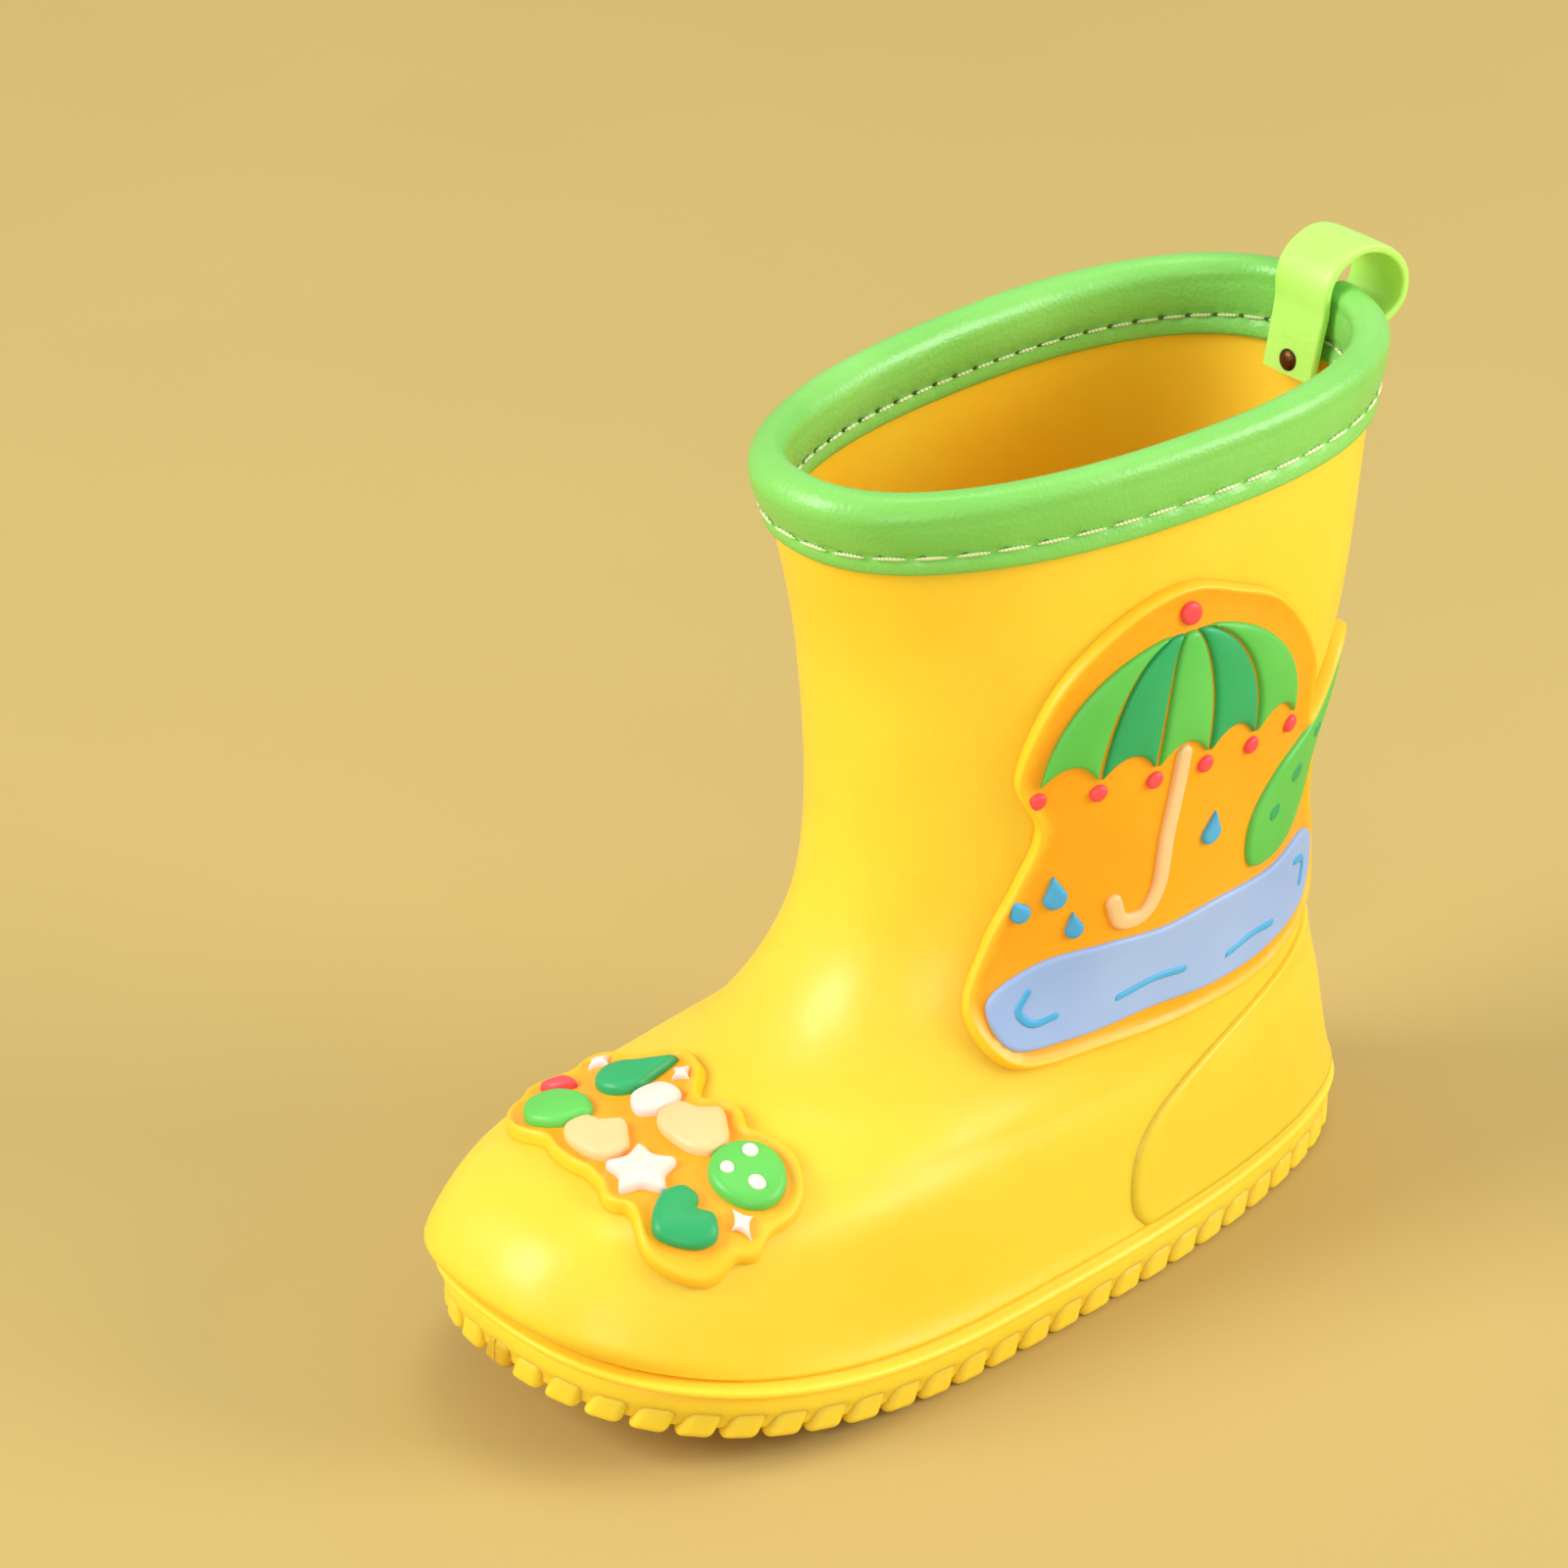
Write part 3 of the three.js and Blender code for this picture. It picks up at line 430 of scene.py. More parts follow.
@dataclass(frozen=True)
class Finish:
    """One finish of the boot: its colours, gloss and texture.

    The colour drifts towards the deep one, which pores and knitted loops show too. A rim colour shows where
    the mesh's own rim attribute is 1. The name is given only where two finishes share a slot.
    """

    slot: str
    colour: tuple[int, int, int]
    deep: tuple[int, int, int]
    skin: Skin = Skin.CAST
    rough: float = 0.38
    coat: float = 0.0
    glow: float = 0.0
    metallic: float = 0.0
    rim: tuple[int, int, int] | None = None
    name: str = ""

    def make(self) -> bpy.types.Material:
        """Builds the finish's material.

        Returns:
            The material, with every pattern read from object coordinates or mesh attributes.
        """
        tree = Tree(self.name or self.slot)
        drift = tree.remap(tree.noise(38, 2.0), 0.35, 0.65, 0.0, 1.0)
        base = tree.blend(drift, srgb(self.colour), srgb(self.deep))
        if self.rim:
            base = tree.blend(tree.attribute("rim"), base, srgb(self.rim))
        base, rough, normal = self.texture(tree, base)
        tree.surface({
            "Base Color": base, "Roughness": rough, "Normal": normal, "Metallic": self.metallic,
            "Coat Weight": self.coat, "Coat Roughness": 0.22, "IOR": 1.47,
            "Subsurface Weight": self.glow, "Subsurface Scale": 0.007,
            "Subsurface Radius": (1.0, 0.62, 0.12),
            "Sheen Weight": 0.35 if self.skin in (Skin.KNITTED, Skin.TWISTED) else 0.0,
        })
        return tree.material

    def texture(self, tree: Tree, base: bpy.types.NodeSocket) -> tuple[object, object, object]:
        """Adds the texture of this finish's skin.

        Args:
            tree: The shader tree.
            base: The colour so far.

        Returns:
            The colour, the roughness and the normal.
        """
        fine = tree.noise(2600, 2.0)
        rough = tree.remap(tree.noise(160, 4.0), 0.3, 0.7, self.rough - 0.05, self.rough + 0.06)
        if self.skin is Skin.LEATHERETTE:
            cells = tree.add("ShaderNodeTexVoronoi", {"Vector": tree.place, "Scale": 1500.0},
                             feature="SMOOTH_F1").outputs["Distance"]
            grain = tree.bump(cells, 0.00016, 0.6)
            normal = tree.bump(tree.noise(300, 2.0), 0.0003, 0.12, grain)
            pores = tree.remap(cells, 0.1, 0.6, 0.0, 0.25)
            return tree.blend(pores, base, srgb(self.deep)), rough, normal
        if self.skin is Skin.KNITTED:
            loops = tree.math("MULTIPLY", tree.bands(260.0, "X", 1.5), tree.bands(200.0, "Y", 1.2))
            shaded = tree.blend(tree.math("MULTIPLY", loops, 0.4), base, srgb(self.deep))
            return shaded, rough, tree.bump(loops, 0.0004, 0.8)
        if self.skin is Skin.TWISTED:
            return base, rough, tree.bump(tree.bands(700.0, "DIAGONAL"), 0.0002, 0.9)
        if self.skin is Skin.MOULDED:
            grain = tree.bump(fine, 0.00005, 0.35)
            return base, rough, tree.bump(tree.noise(70, 2.0), 0.0008, 0.16, grain)
        if self.skin is Skin.CUT_EDGE:
            return base, rough, tree.bump(tree.noise(900, 4.0), 0.0002, 0.5)
        if self.skin is Skin.PLAIN:
            return base, rough, tree.bump(tree.noise(1300, 5.0), 0.0002, 0.6)
        return base, rough, tree.bump(fine, 0.00006, 0.4)


class Finishes:
    """Every finish of the boot, made once and shared."""

    YELLOW = Finish("yellow_rubber", (255, 208, 57), (255, 202, 47), Skin.MOULDED,
                    rough=0.42, coat=0.1, glow=0.6)
    SOLE = Finish("sole_rubber", (255, 214, 60), (255, 208, 50), Skin.MOULDED,
                  rough=0.45, coat=0.05, glow=0.4)
    BINDING = Finish("binding_tape", (136, 212, 104), (119, 198, 87), Skin.LEATHERETTE, coat=0.15)
    STRAP = Finish("strap_tape", (190, 245, 122), (180, 240, 108), Skin.CUT_EDGE,
                   rough=0.36, coat=0.12, glow=0.15)
    THREAD = Finish("seam_thread", (238, 244, 200), (214, 226, 160), Skin.TWISTED, rough=0.75)
    # Painted shade: a dark tape colour for the needle holes, standing for the shade inside each hole.
    NEEDLE_HOLE_SHADE = Finish("binding_tape", (70, 96, 34), (58, 82, 28), Skin.PLAIN, rough=0.8,
                         name="needle_hole")
    RIVET = Finish("rivet_metal", (126, 84, 44), (84, 54, 28), Skin.PLAIN, rough=0.36, metallic=0.85)
    FOAM = Finish("insole_foam", (232, 227, 214), (222, 214, 198), Skin.PLAIN, rough=0.9)
    LINING = Finish("insole_fabric", (243, 190, 62), (222, 160, 40), Skin.KNITTED, rough=0.85)
    TAG = Finish("tag_fabric", (242, 236, 226), (228, 218, 204), Skin.KNITTED, rough=0.7)
    AMBER = Finish("badge_amber", (252, 172, 24), (250, 164, 16), rough=0.4, glow=0.08, rim=(255, 196, 38))
    GREEN = Finish("badge_green", (98, 200, 88), (84, 190, 78), rough=0.42)
    DARK_GREEN = Finish("badge_dark_green", (42, 172, 104), (34, 160, 94), rough=0.42)
    PEACH = Finish("badge_peach", (247, 204, 148), (242, 194, 136), rough=0.45)
    CORAL = Finish("badge_coral", (247, 82, 88), (238, 70, 78), rough=0.42)
    PUDDLE = Finish("badge_puddle", (158, 186, 236), (146, 176, 230), rough=0.45)
    WATER = Finish("badge_water", (76, 174, 226), (66, 162, 218), rough=0.45)
    WHITE = Finish("badge_white", (238, 222, 218), (230, 212, 206), rough=0.48)

    _made: dict[str, bpy.types.Material] = {}

    @classmethod
    def material(cls, finish: Finish) -> bpy.types.Material:
        """The finish's material, made the first time that it is asked for.

        Args:
            finish: The finish.

        Returns:
            Its material.
        """
        key = finish.name or finish.slot
        if key not in cls._made:
            cls._made[key] = finish.make()
        return cls._made[key]


# ---------------------------------------------------------------- mesh tools
class Body(Enum):
    """The rigid bodies of the frame."""

    ROOT = "root"
    LOOP = "pull_loop"


def put_in_scene(name: str, data: bpy.types.ID) -> bpy.types.Object:
    """Makes an object of a mesh, a camera or a light, and links it to the scene."""
    thing = bpy.data.objects.new(name, data)
    bpy.context.scene.collection.objects.link(thing)
    return thing


def from_form(name: str, form: bmesh.types.BMesh) -> bpy.types.Object:
    """Makes an object of a bmesh and frees it.

    Args:
        name: The object's name.
        form: The bmesh.

    Returns:
        The object, in the scene.
    """
    mesh = bpy.data.meshes.new(name)
    form.to_mesh(mesh)
    form.free()
    return put_in_scene(name, mesh)


def make_object(name: str, points: np.ndarray, faces: Sequence[Sequence[int]]) -> bpy.types.Object:
    """Makes a smooth-shaded mesh object from points in millimetres.

    Args:
        name: The object's name.
        points: Its points, in any grid.
        faces: Point numbers of each face.

    Returns:
        The object, in the scene.
    """
    mesh = bpy.data.meshes.new(name)
    mesh.from_pydata((np.asarray(points, float).reshape(-1, 3) * MM).tolist(), [], [list(f) for f in faces])
    mesh.validate()
    mesh.update()
    mesh.shade_smooth()
    return put_in_scene(name, mesh)


def outwards(thing: bpy.types.Object, crease: float = 180.0) -> bpy.types.Object:
    """Turns every face of a closed mesh out, and marks creases sharper than an angle in degrees.

    Args:
        thing: The mesh object.
        crease: The sharpest angle that stays smooth.

    Returns:
        The same object.
    """
    form = bmesh.new()
    form.from_mesh(thing.data)
    bmesh.ops.remove_doubles(form, verts=form.verts, dist=1e-7)
    bmesh.ops.recalc_face_normals(form, faces=form.faces)
    for edge in form.edges:
        if len(edge.link_faces) == 2 and edge.calc_face_angle(0.0) > math.radians(crease):
            edge.smooth = False
    form.to_mesh(thing.data)
    form.free()
    return thing


def cap_ends(tube: bpy.types.Object) -> None:
    """Closes a tube's open ends with triangles.

    Args:
        tube: A mesh object that is open at both ends.
    """
    form = bmesh.new()
    form.from_mesh(tube.data)
    bmesh.ops.holes_fill(form, edges=[e for e in form.edges if e.is_boundary], sides=0)
    bmesh.ops.triangulate(form, faces=[f for f in form.faces if len(f.verts) > 4])
    form.to_mesh(tube.data)
    form.free()


def ring_faces(rows: int, around: int, closed: bool = True) -> list[tuple[int, ...]]:
    """The quads that join rows of points, each with the same count around.

    Args:
        rows: Count of rows.
        around: Points in each row.
        closed: Whether a row joins its own start.

    Returns:
        Point numbers of each face.
    """
    faces = []
    for row in range(rows - 1):
        for k in range(around if closed else around - 1):
            after = (k + 1) % around
            faces.append((row * around + k, row * around + after, (row + 1) * around + after,
                          (row + 1) * around + k))
    return faces


def ladder(around: int, start: int, flip: bool = False) -> list[tuple[int, ...]]:
    """Caps a loop that starts at the toe with strips from side to side.

    Args:
        around: Points in the loop, an even number.
        start: The number of its first point.
        flip: Whether the faces turn the other way.

    Returns:
        Point numbers of each face.
    """
    faces = [(start, start + 1, start + around - 1)]
    for k in range(1, around // 2 - 1):
        faces.append((start + k, start + k + 1, start + around - k - 1, start + around - k))
    half = around // 2
    faces.append((start + half - 1, start + half, start + half + 1))
    return [face[::-1] for face in faces] if flip else faces


def closed_loft(name: str, loops: Sequence[np.ndarray]) -> bpy.types.Object:
    """Skins closed loops that start at the toe, and caps both ends.

    Args:
        name: The object's name.
        loops: Loops with the same count of points.

    Returns:
        A closed mesh.
    """
    around = len(loops[0])
    faces = ring_faces(len(loops), around)
    faces += ladder(around, 0, flip=True) + ladder(around, (len(loops) - 1) * around)
    return outwards(make_object(name, np.vstack(loops), faces))


def through(points: Sequence[Sequence[float]], closed: bool, per_span: int = 10) -> np.ndarray:
    """A centripetal Catmull-Rom line through points.

    Args:
        points: The points, in two or three coordinates.
        closed: Whether the line returns to its start.
        per_span: Steps between neighbouring points.

    Returns:
        The points of the fine line; an open line has its last point too.
    """
    given = np.asarray(points, float)
    if closed:
        padded = np.vstack([given[-1], given, given[:2]])
    else:
        padded = np.vstack([2 * given[0] - given[1], given, 2 * given[-1] - given[-2]])
    t = np.linspace(0, 1, per_span, endpoint=False)[:, None]
    line = []
    for a, b, c, d in zip(padded, padded[1:], padded[2:], padded[3:]):
        before, here, after = (math.sqrt(max(float(np.linalg.norm(q - p)), 1e-9))
                               for p, q in ((a, b), (b, c), (c, d)))
        leave = ((b - a) / before - (c - a) / (before + here) + (c - b) / here) * here
        arrive = ((c - b) / here - (d - b) / (here + after) + (d - c) / after) * here
        line.append(b + leave * t + (3 * (c - b) - 2 * leave - arrive) * t ** 2
                    + (2 * (b - c) + leave + arrive) * t ** 3)
    if not closed:
        line.append(given[-1:])
    return np.vstack(line)


def even(line: np.ndarray, spacing: float, closed: bool) -> np.ndarray:
    """Walks a line at an even spacing, close to the one asked for.

    Args:
        line: The line's points.
        spacing: The spacing asked for.
        closed: Whether the line returns to its start.

    Returns:
        The evenly spaced points.
    """
    whole = np.vstack([line, line[:1]]) if closed else line
    run = np.concatenate([[0], np.cumsum(np.linalg.norm(np.diff(whole, axis=0), axis=1))])
    count = max(6, round(run[-1] / spacing))
    at = np.linspace(0, run[-1], count + 1)[: count if closed else count + 1]
    return np.stack([np.interp(at, run, whole[:, k]) for k in range(whole.shape[1])], axis=1)


def sandwich(name: str, outer: np.ndarray, inner: np.ndarray) -> bpy.types.Object:
    """Joins two grids of points, one over the other, as a closed plate.

    Args:
        name: The object's name.
        outer: The grid on one face.
        inner: The grid on the other, of the same size.

    Returns:
        A closed mesh.
    """
    rows, columns = outer.shape[:2]
    count = rows * columns
    sheet = ring_faces(rows, columns, closed=False)
    faces = sheet + [tuple(count + k for k in face[::-1]) for face in sheet]
    border = list(range(columns)) + [(j + 1) * columns - 1 for j in range(1, rows)]
    border += [count - 2 - k for k in range(columns - 1)]
    border += [(rows - 2 - j) * columns for j in range(rows - 2)]
    for a, b in zip(border, border[1:] + border[:1]):
        faces.append((b, a, count + a, count + b))
    return outwards(make_object(name, np.vstack([outer.reshape(-1, 3), inner.reshape(-1, 3)]), faces))


def finish_piece(thing: bpy.types.Object, finish: Finish, body: Body, *nodes: str) -> bpy.types.Object:
    """Dresses a piece, makes it ride on a body and hides the frame nodes that it stands for.

    Args:
        thing: The piece.
        finish: Its finish.
        body: The body that it rides on.
        nodes: The frame nodes that it replaces, if any.

    Returns:
        The same piece.
    """
    thing.data.materials.clear()
    thing.data.materials.append(Finishes.material(finish))
    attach(thing, body.value)
    if nodes:
        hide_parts(*nodes)
    log.info("%s: %d faces", thing.name, len(thing.data.polygons))
    return thing


class AlongPath:
    """A Geometry Nodes tree that sets copies of a small shape along a path at an even pitch."""

    BEYOND = 1000.0   # a length in metres past the end of any path

    def __init__(self) -> None:
        """Builds the tree, with named inputs for its sizes."""
        self.tree = bpy.data.node_groups.new("copies_along_path", "GeometryNodeTree")
        face = self.tree.interface
        face.new_socket("Geometry", in_out="INPUT", socket_type="NodeSocketGeometry")
        self.inputs = {
            "Shape": face.new_socket("Shape", in_out="INPUT", socket_type="NodeSocketObject"),
            "Pitch": face.new_socket("Pitch", in_out="INPUT", socket_type="NodeSocketFloat"),
            "Start": face.new_socket("Start", in_out="INPUT", socket_type="NodeSocketFloat"),
            "Finish": face.new_socket("Finish", in_out="INPUT", socket_type="NodeSocketMaterial"),
        }
        face.new_socket("Geometry", in_out="OUTPUT", socket_type="NodeSocketGeometry")
        nodes, links = self.tree.nodes, self.tree.links
        source, sink = nodes.new("NodeGroupInput"), nodes.new("NodeGroupOutput")
        curve = nodes.new("GeometryNodeMeshToCurve")
        trim = nodes.new("GeometryNodeTrimCurve")
        trim.mode = "LENGTH"
        start_length, end_length = trim.inputs[4], trim.inputs[5]
        end_length.default_value = self.BEYOND
        points = nodes.new("GeometryNodeCurveToPoints")
        points.mode = "LENGTH"
        turn = nodes.new("FunctionNodeAxesToRotation")
        turn.primary_axis, turn.secondary_axis = "X", "Z"
        turn.inputs[1].default_value = (0.0, 0.0, 1.0)
        shape = nodes.new("GeometryNodeObjectInfo")
        copies = nodes.new("GeometryNodeInstanceOnPoints")
        real = nodes.new("GeometryNodeRealizeInstances")
        dress = nodes.new("GeometryNodeSetMaterial")
        for first, second in (
            (source.outputs["Geometry"], curve.inputs["Mesh"]),
            (curve.outputs["Curve"], trim.inputs["Curve"]),
            (source.outputs["Start"], start_length),
            (trim.outputs["Curve"], points.inputs["Curve"]),
            (source.outputs["Pitch"], points.inputs["Length"]),
            (points.outputs["Points"], copies.inputs["Points"]),
            (points.outputs["Tangent"], turn.inputs[0]),
            (turn.outputs["Rotation"], copies.inputs["Rotation"]),
            (source.outputs["Shape"], shape.inputs["Object"]),
            (shape.outputs["Geometry"], copies.inputs["Instance"]),
            (copies.outputs["Instances"], real.inputs["Geometry"]),
            (real.outputs["Geometry"], dress.inputs["Geometry"]),
            (source.outputs["Finish"], dress.inputs["Material"]),
            (dress.outputs["Geometry"], sink.inputs["Geometry"]),
        ):
            links.new(first, second)

    def run(self, name: str, path: np.ndarray, shape: bpy.types.Object, pitch: float, start: float,
            finish: Finish, closed: bool) -> bpy.types.Object:
        """Sets copies of a shape along a path and returns them as one plain mesh.

        Args:
            name: The new object's name.
            path: Points of the path, in millimetres.
            shape: The shape to repeat, with X along the path and Z up.
            pitch: Distance between copies, in millimetres.
            start: Length of path left empty at its start, in millimetres.
            finish: The copies' finish.
            closed: Whether the path returns to its start.

        Returns:
            A mesh object at the origin.
        """
        mesh = bpy.data.meshes.new(name + "_path")
        edges = [(k, k + 1) for k in range(len(path) - 1)] + ([(len(path) - 1, 0)] if closed else [])
        mesh.from_pydata((path * MM).tolist(), edges, [])
        carrier = put_in_scene(name + "_path", mesh)
        modifier = carrier.modifiers.new("copies", "NODES")
        modifier.node_group = self.tree
        values = {"Shape": shape, "Pitch": pitch * MM, "Start": start * MM,
                  "Finish": Finishes.material(finish)}
        for key, value in values.items():
            modifier[self.inputs[key].identifier] = value
        graph = bpy.context.evaluated_depsgraph_get()
        result = bpy.data.meshes.new_from_object(carrier.evaluated_get(graph))
        result.shade_smooth()
        carrier.modifiers.remove(modifier)
        bpy.data.objects.remove(carrier)
        return put_in_scene(name, result)


# ---------------------------------------------------------------- shell and outsole
@dataclass
class Shell:
    """The moulded shell with its raised heel counter."""

    around: int = 288
    edge_rows: int = 14
    outer_rows: int = 150
    inner_rows: int = 90
    edge_tuck: float = 0.55
    tuck_fade: float = 0.06
    counter_rise: float = 34.5
    counter_half: float = 76.0
    counter_crop: float = 0.985
    counter_shoulder: float = 4.5
    counter_thickness: float = 1.1
    counter_roll: float = 1.0
    counter_bedding: float = 0.6
    heel_radius: float = 38.0

    def build(self) -> None:
        """Builds both pieces."""
        self.upper()
        self.counter()

    def upper(self) -> None:
        """The foot and shaft: an outer skin tucked in at the sole, an inner skin and the floor."""
        bottom = LAST.sole_thickness + LAST.gap
        angles = np.linspace(0, TAU, self.around, endpoint=False)
        whole = np.ones(self.around)
        first, above_edge, above_floor = float(LAST.index_at(np.array(bottom))), 0.4, 0.8
        outer = np.concatenate([np.linspace(first, above_edge, self.edge_rows),
                                np.linspace(above_edge, LAST.rim, self.outer_rows)[1:]])
        loops = []
        for index in outer:
            tuck = -self.edge_tuck * math.exp(-((index - first) / self.tuck_fade) ** 2)
            loops.append(LAST.skin(index * whole, angles, tuck * whole))
        loops.append(LAST.beside_rim(angles, -LAST.wall / 2, 0.2))
        for index in np.linspace(LAST.rim, above_floor, self.inner_rows):
            loops.append(LAST.skin(index * whole, angles, -LAST.wall * whole))
        floor = bottom + LAST.floor
        loops.append(LAST.footprint(angles, -2 * LAST.wall + 0.6, floor + 1.2))
        loops.append(LAST.footprint(angles, -2 * LAST.wall, floor))
        shell = closed_loft("boot_shell", loops)
        finish_piece(shell, Finishes.YELLOW, Body.ROOT, "upper_shell")

    def counter(self) -> None:
        """The heel counter: a low raised patch whose edge rolls down into the shell."""
        columns, rows = 150, 70
        low = LAST.sole_thickness + 0.9
        u, v = np.meshgrid(np.linspace(-1, 1, columns), np.linspace(0, 1, rows))
        share = self.counter_crop * (1 - (1 - v) ** 1.8)
        half = np.radians(self.counter_half) * np.sqrt(1 - share ** self.counter_shoulder)
        index = LAST.index_at(low + share * self.counter_rise)
        angle = math.pi + u * half
        edge = np.minimum((1 - np.abs(u)) * half * self.heel_radius, (1 - v) * self.counter_rise * 1.2)
        roll = np.clip(edge / self.counter_roll, 0, 1)
        rise = self.counter_thickness * np.sqrt(1 - (1 - roll) ** 2)
        outer = LAST.skin(index, angle, rise - 0.15)
        inner = LAST.skin(index, angle, np.full_like(rise, -self.counter_bedding))
        patch = sandwich("heel_counter_patch", outer, inner)
        finish_piece(patch, Finishes.YELLOW, Body.ROOT, "heel_counter")


@dataclass
class Outsole:
    """The lugged outsole: a walled slab with a foxing bead, tread bars below and lugs round its edge."""

    copies: AlongPath
    around: int = 480
    bead: float = 1.1
    tread: float = 2.2
    groove: float = 3.0
    groove_pitch: float = 13.0
    lug_pitch: float = 7.4
    lug_width: float = 6.5
    lug_height: float = 5.6
    lug_depth: float = 3.6
    lug_lean: float = 0.3
    lug_taper: float = 0.9
    lug_round: float = 1.5

    def build(self) -> None:
        """Builds the slab, its tread bars and its lugs as one piece."""
        parts = [self.slab(), *self.bars(), self.lugs()]
        form = bmesh.new()
        for part in parts:
            form.from_mesh(part.data)
        whole = parts[0]
        form.to_mesh(whole.data)
        form.free()
        whole.data.shade_smooth()
        for part in parts[1:]:
            bpy.data.objects.remove(part)
        outwards(whole, crease=50)
        finish_piece(whole, Finishes.SOLE, Body.ROOT, "outsole")

    def slab(self) -> bpy.types.Object:
        """The slab, as margins and heights from its recessed underside up to the shell.

        Returns:
            The slab as a closed mesh.
        """
        angles = np.linspace(0, TAU, self.around, endpoint=False)
        underside = [(-4.6, self.tread), (-4.6, 1.9), (-4.2, 1.5), (-3.6, 1.45), (-2.4, 1.45), (-1.7, 1.5)]
        wall = [(-1.25, 1.7), (-1.05, 2.1), (-0.95, 2.8), (-0.8, 3.5), (-0.5, 4.2), (-0.15, 4.9),
                (0.02, 5.6), (0.08, 6.4), (0.08, 7.3), (0.0, 7.8), (-0.12, 8.0), (-0.1, 8.15), (0.2, 8.25)]
        bead = [(self.bead - 0.45, 8.4), (self.bead, 8.75), (self.bead + 0.12, 9.25), (self.bead, 9.75),
                (self.bead - 0.4, 10.1)]
        joint = [(0.2, 10.3), (-0.1, 10.4), (-0.3, 10.6), (-1.0, LAST.sole_thickness)]
        section = underside + wall + bead + joint
        return closed_loft("outsole_slab", [LAST.footprint(angles, m, h) for m, h in section])

    def bars(self) -> list[bpy.types.Object]:
        """The cross bars of the tread, one between each pair of grooves.

        Returns:
            The bars, from the toe to the heel.
        """
        toe_room, heel_room = 12, 10
        toe_end, heel_end = 6.0 - LAST.toe_reach, LAST.heel_reach - 5.6
        first = -math.floor((LAST.toe_reach - toe_room) / self.groove_pitch) + 0.5
        grooves = [first * self.groove_pitch]
        while grooves[-1] + self.groove_pitch < LAST.heel_reach - heel_room:
            grooves.append(grooves[-1] + self.groove_pitch)
        starts = [toe_end] + [g + self.groove / 2 for g in grooves]
        ends = [g - self.groove / 2 for g in grooves] + [heel_end]
        return [self.bar(k, start, end) for k, (start, end) in enumerate(zip(starts, ends))]

    def bar(self, number: int, start: float, end: float) -> bpy.types.Object:
        """One bar with rounded lower edges.

        Args:
            number: The bar's place from the toe.
            start: Where it starts along the foot.
            end: Where it ends.

        Returns:
            The bar as a closed mesh.
        """
        lines, columns, drawn_in, radius, sunk = 17, 48, 4.4, 0.9, 0.8
        y = np.linspace(start, end, lines)[:, None]
        half = LAST.half_width(y, -drawn_in)
        x = np.sin(np.linspace(-math.pi / 2, math.pi / 2, columns))[None, :] * half
        y = np.broadcast_to(y, x.shape)
        edge = np.minimum(half - np.abs(x), np.minimum(y - start, end - y))
        lift = radius * (1 - np.sqrt(1 - (1 - np.clip(edge / radius, 0, 1)) ** 2))
        rise = LAST.spring(y, np.zeros_like(y))
        under = np.stack([x, y, rise + lift], axis=-1)
        top = np.stack([x, y, rise + self.tread + sunk], axis=-1)
        return sandwich(f"tread_bar_{number}", under, top)

    def lugs(self) -> bpy.types.Object:
        """The leaning lugs round the sole's edge.

        Returns:
            The lugs as one mesh.
        """
        form = bmesh.new()
        bmesh.ops.create_cube(form, size=1.0)
        scale = Matrix.Diagonal((self.lug_width * MM, self.lug_depth * MM, self.lug_height * MM, 1))
        bmesh.ops.transform(form, matrix=scale, verts=form.verts)
        for vert in form.verts:
            if vert.co.z > 0:
                vert.co.x *= self.lug_taper
            vert.co.x += vert.co.z * self.lug_lean
        bmesh.ops.bevel(form, geom=form.edges, offset=self.lug_round * MM, segments=5, profile=0.5,
                        affect="EDGES")
        lug = from_form("lug", form)
        proud, clear, path_points = 0.08, 0.02, 1440
        angles = np.linspace(0, TAU, path_points, endpoint=False)
        path = LAST.footprint(angles, proud - self.lug_depth / 2, clear + self.lug_height / 2)
        length = np.linalg.norm(np.diff(np.vstack([path, path[:1]]), axis=0), axis=1).sum()
        pitch = length / round(length / self.lug_pitch)
        result = self.copies.run("sole_lugs", path, lug, pitch, 0.0, Finishes.SOLE, closed=True)
        bpy.data.objects.remove(lug)
        return result


